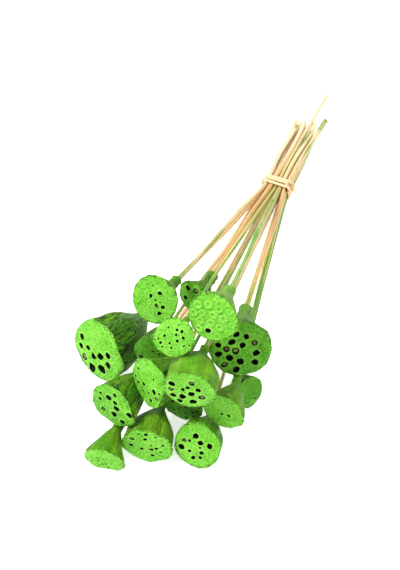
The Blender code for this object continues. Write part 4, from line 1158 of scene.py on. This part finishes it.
def tautPoint(degrees, lift):
    angle = math.radians(degrees)
    away = Vector((math.cos(angle), 0.0, math.sin(angle)))
    # the nearest reeds each way share the strand, so that it turns evenly
    reach = [slot["x"] * away.x + slot["z"] * away.z + slot["radius"] for slot in slots.values()]
    weights = [math.exp((r - max(reach)) / 0.35) for r in reach]
    place = Vector((0.0, 0.0, 0.0))
    for slot, weight in zip(slots.values(), weights):
        place += (Vector((slot["x"], 0.0, slot["z"])) + away * slot["radius"]) * weight / sum(weights)
    return place + away * lift, away


def ribbon(path, wides, thins, width, thick, seed):
    # a flat ribbed strip along a path; wides and thins are its cross directions
    ribs = tieRule["ribs"]
    profile = []
    for i in range(ribs):
        s = -1 + 2 * i / (ribs - 1)
        bulge = 0.5 * math.sqrt(max(0.0, 1 - s ** 4)) + (0.09 if i % 2 else 0.0)
        profile.append((s / 2, bulge))
    profile += [(s, -b) for s, b in reversed(profile[1:-1])]
    points, grain, faces = [], [], []
    for k, (place, wide, thin) in enumerate(zip(path, wides, thins)):
        grow = 1 + 0.10 * noise.noise(Vector((k * 0.13, seed, 0.0)))
        for s, b in profile:
            points.append(place + wide * width * grow * s + thin * thick * b)
            grain.append((s * 6, b * 2, k * 0.5 + seed))
    size = len(profile)
    for k in range(len(path) - 1):
        for i in range(size):
            j = (i + 1) % size
            faces.append((k * size + i, k * size + j, (k + 1) * size + j, (k + 1) * size + i))
    faces.append(tuple(range(size)))
    faces.append(tuple((len(path) - 1) * size + i for i in range(size)))
    return [tuple(p) for p in points], faces, grain


def strand(width, course, seed):
    # a flat strand pulled tight round the reeds along its course
    stops = sorted(course)
    turns = [stop[0] for stop in stops]
    rise = Vector((0.0, 1.0, 0.0))
    path, thins = [], []
    for degrees in range(turns[0], turns[-1] + 1, tieRule["step"]):
        shift = float(np.interp(degrees, turns, [stop[1] for stop in stops]))
        lift = float(np.interp(degrees, turns, [stop[2] for stop in stops]))
        inner, away = tautPoint(degrees, tieRule["clear"] + lift)
        path.append(inner + rise * (bunch["tieY"] + shift))
        thins.append(away)
    for _ in range(3):
        middle = [(a + b * 2 + c) / 4 for a, b, c in zip(path, path[1:], path[2:])]
        path = [path[0], *middle, path[-1]]
    return ribbonAlong(path, thins, width, seed)


def ribbonAlong(path, thins, width, seed):
    wides = []
    for k, thin in enumerate(thins):
        way = path[min(k + 1, len(path) - 1)] - path[max(k - 1, 0)]
        wides.append(way.cross(thin).normalized())
    return ribbon(path, wides, thins, width, tieRule["thick"], seed)


def buildTie():
    parts = [strand(width, course, 1.0 + i) for i, (width, course) in enumerate(tieRule["strands"])]
    inner, away = tautPoint(tieRule["knotAt"], 0.8)
    middle = inner + away * tieRule["knotLift"] + Vector((0.0, bunch["tieY"], 0.0))
    rise = Vector((0.0, 1.0, 0.0))
    across = rise.cross(away)
    for i, (width, long, wide, high, tilt, lift, along) in enumerate(tieRule["loops"]):
        tilt = math.radians(tilt)
        first, second = rise * math.cos(tilt) + across * math.sin(tilt), across * math.cos(tilt) - rise * math.sin(tilt)
        path, thins = [], []
        for k in range(41):
            turn = 2 * math.pi * k / 40
            path.append(middle + rise * along + first * long * math.cos(turn) + second * wide * math.sin(turn)
                        + away * (lift + high * math.sin(2 * turn)))
            thins.append((away + (first * math.cos(turn) + second * math.sin(turn)) * 0.6).normalized())
        parts.append(ribbonAlong(path, thins, width, 5.0 + i))
    # a short wrap over the middle of the knot
    path = [middle + across * 3.2 * math.cos(t) + away * (0.3 + 1.7 * math.sin(t)) + rise * 1.2 * math.sin(t)
            for t in np.linspace(-0.5, math.pi + 0.5, 24)]
    thins = [(across * math.cos(t) + away * (0.4 + math.sin(t))).normalized() for t in np.linspace(-0.5, math.pi + 0.5, 24)]
    parts.append(ribbonAlong(path, thins, 3.4, 8.0))
    for i, way in enumerate(tieRule["tails"]):
        way = Vector(way).normalized()
        side = way.cross(away).normalized()
        thin = side.cross(way)
        path = [middle + way * tieRule["tailLong"] * k / 20 + thin * 1.1 * math.sin(k / 20 * 3.4) * (1 - 0.4 * i)
                for k in range(21)]
        parts.append(ribbon(path, [side] * 21, [thin] * 21, 2.6, 0.8, 11.0 + i))
    points, faces, grain = [], [], []
    for somePoints, someFaces, someGrain in parts:
        base = len(points)
        points += somePoints
        grain += someGrain
        faces += [tuple(base + i for i in f) for f in someFaces]
    low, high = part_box("raffia_tie")
    spots = np.clip(metres(points), np.array(low), np.array(high))
    thing = meshPiece("raffia_binding", spots, faces)
    setValues(thing, "grain", grain)
    onNode(thing, raffia, "raffia_tie")


buildTie()
print("tie ready")
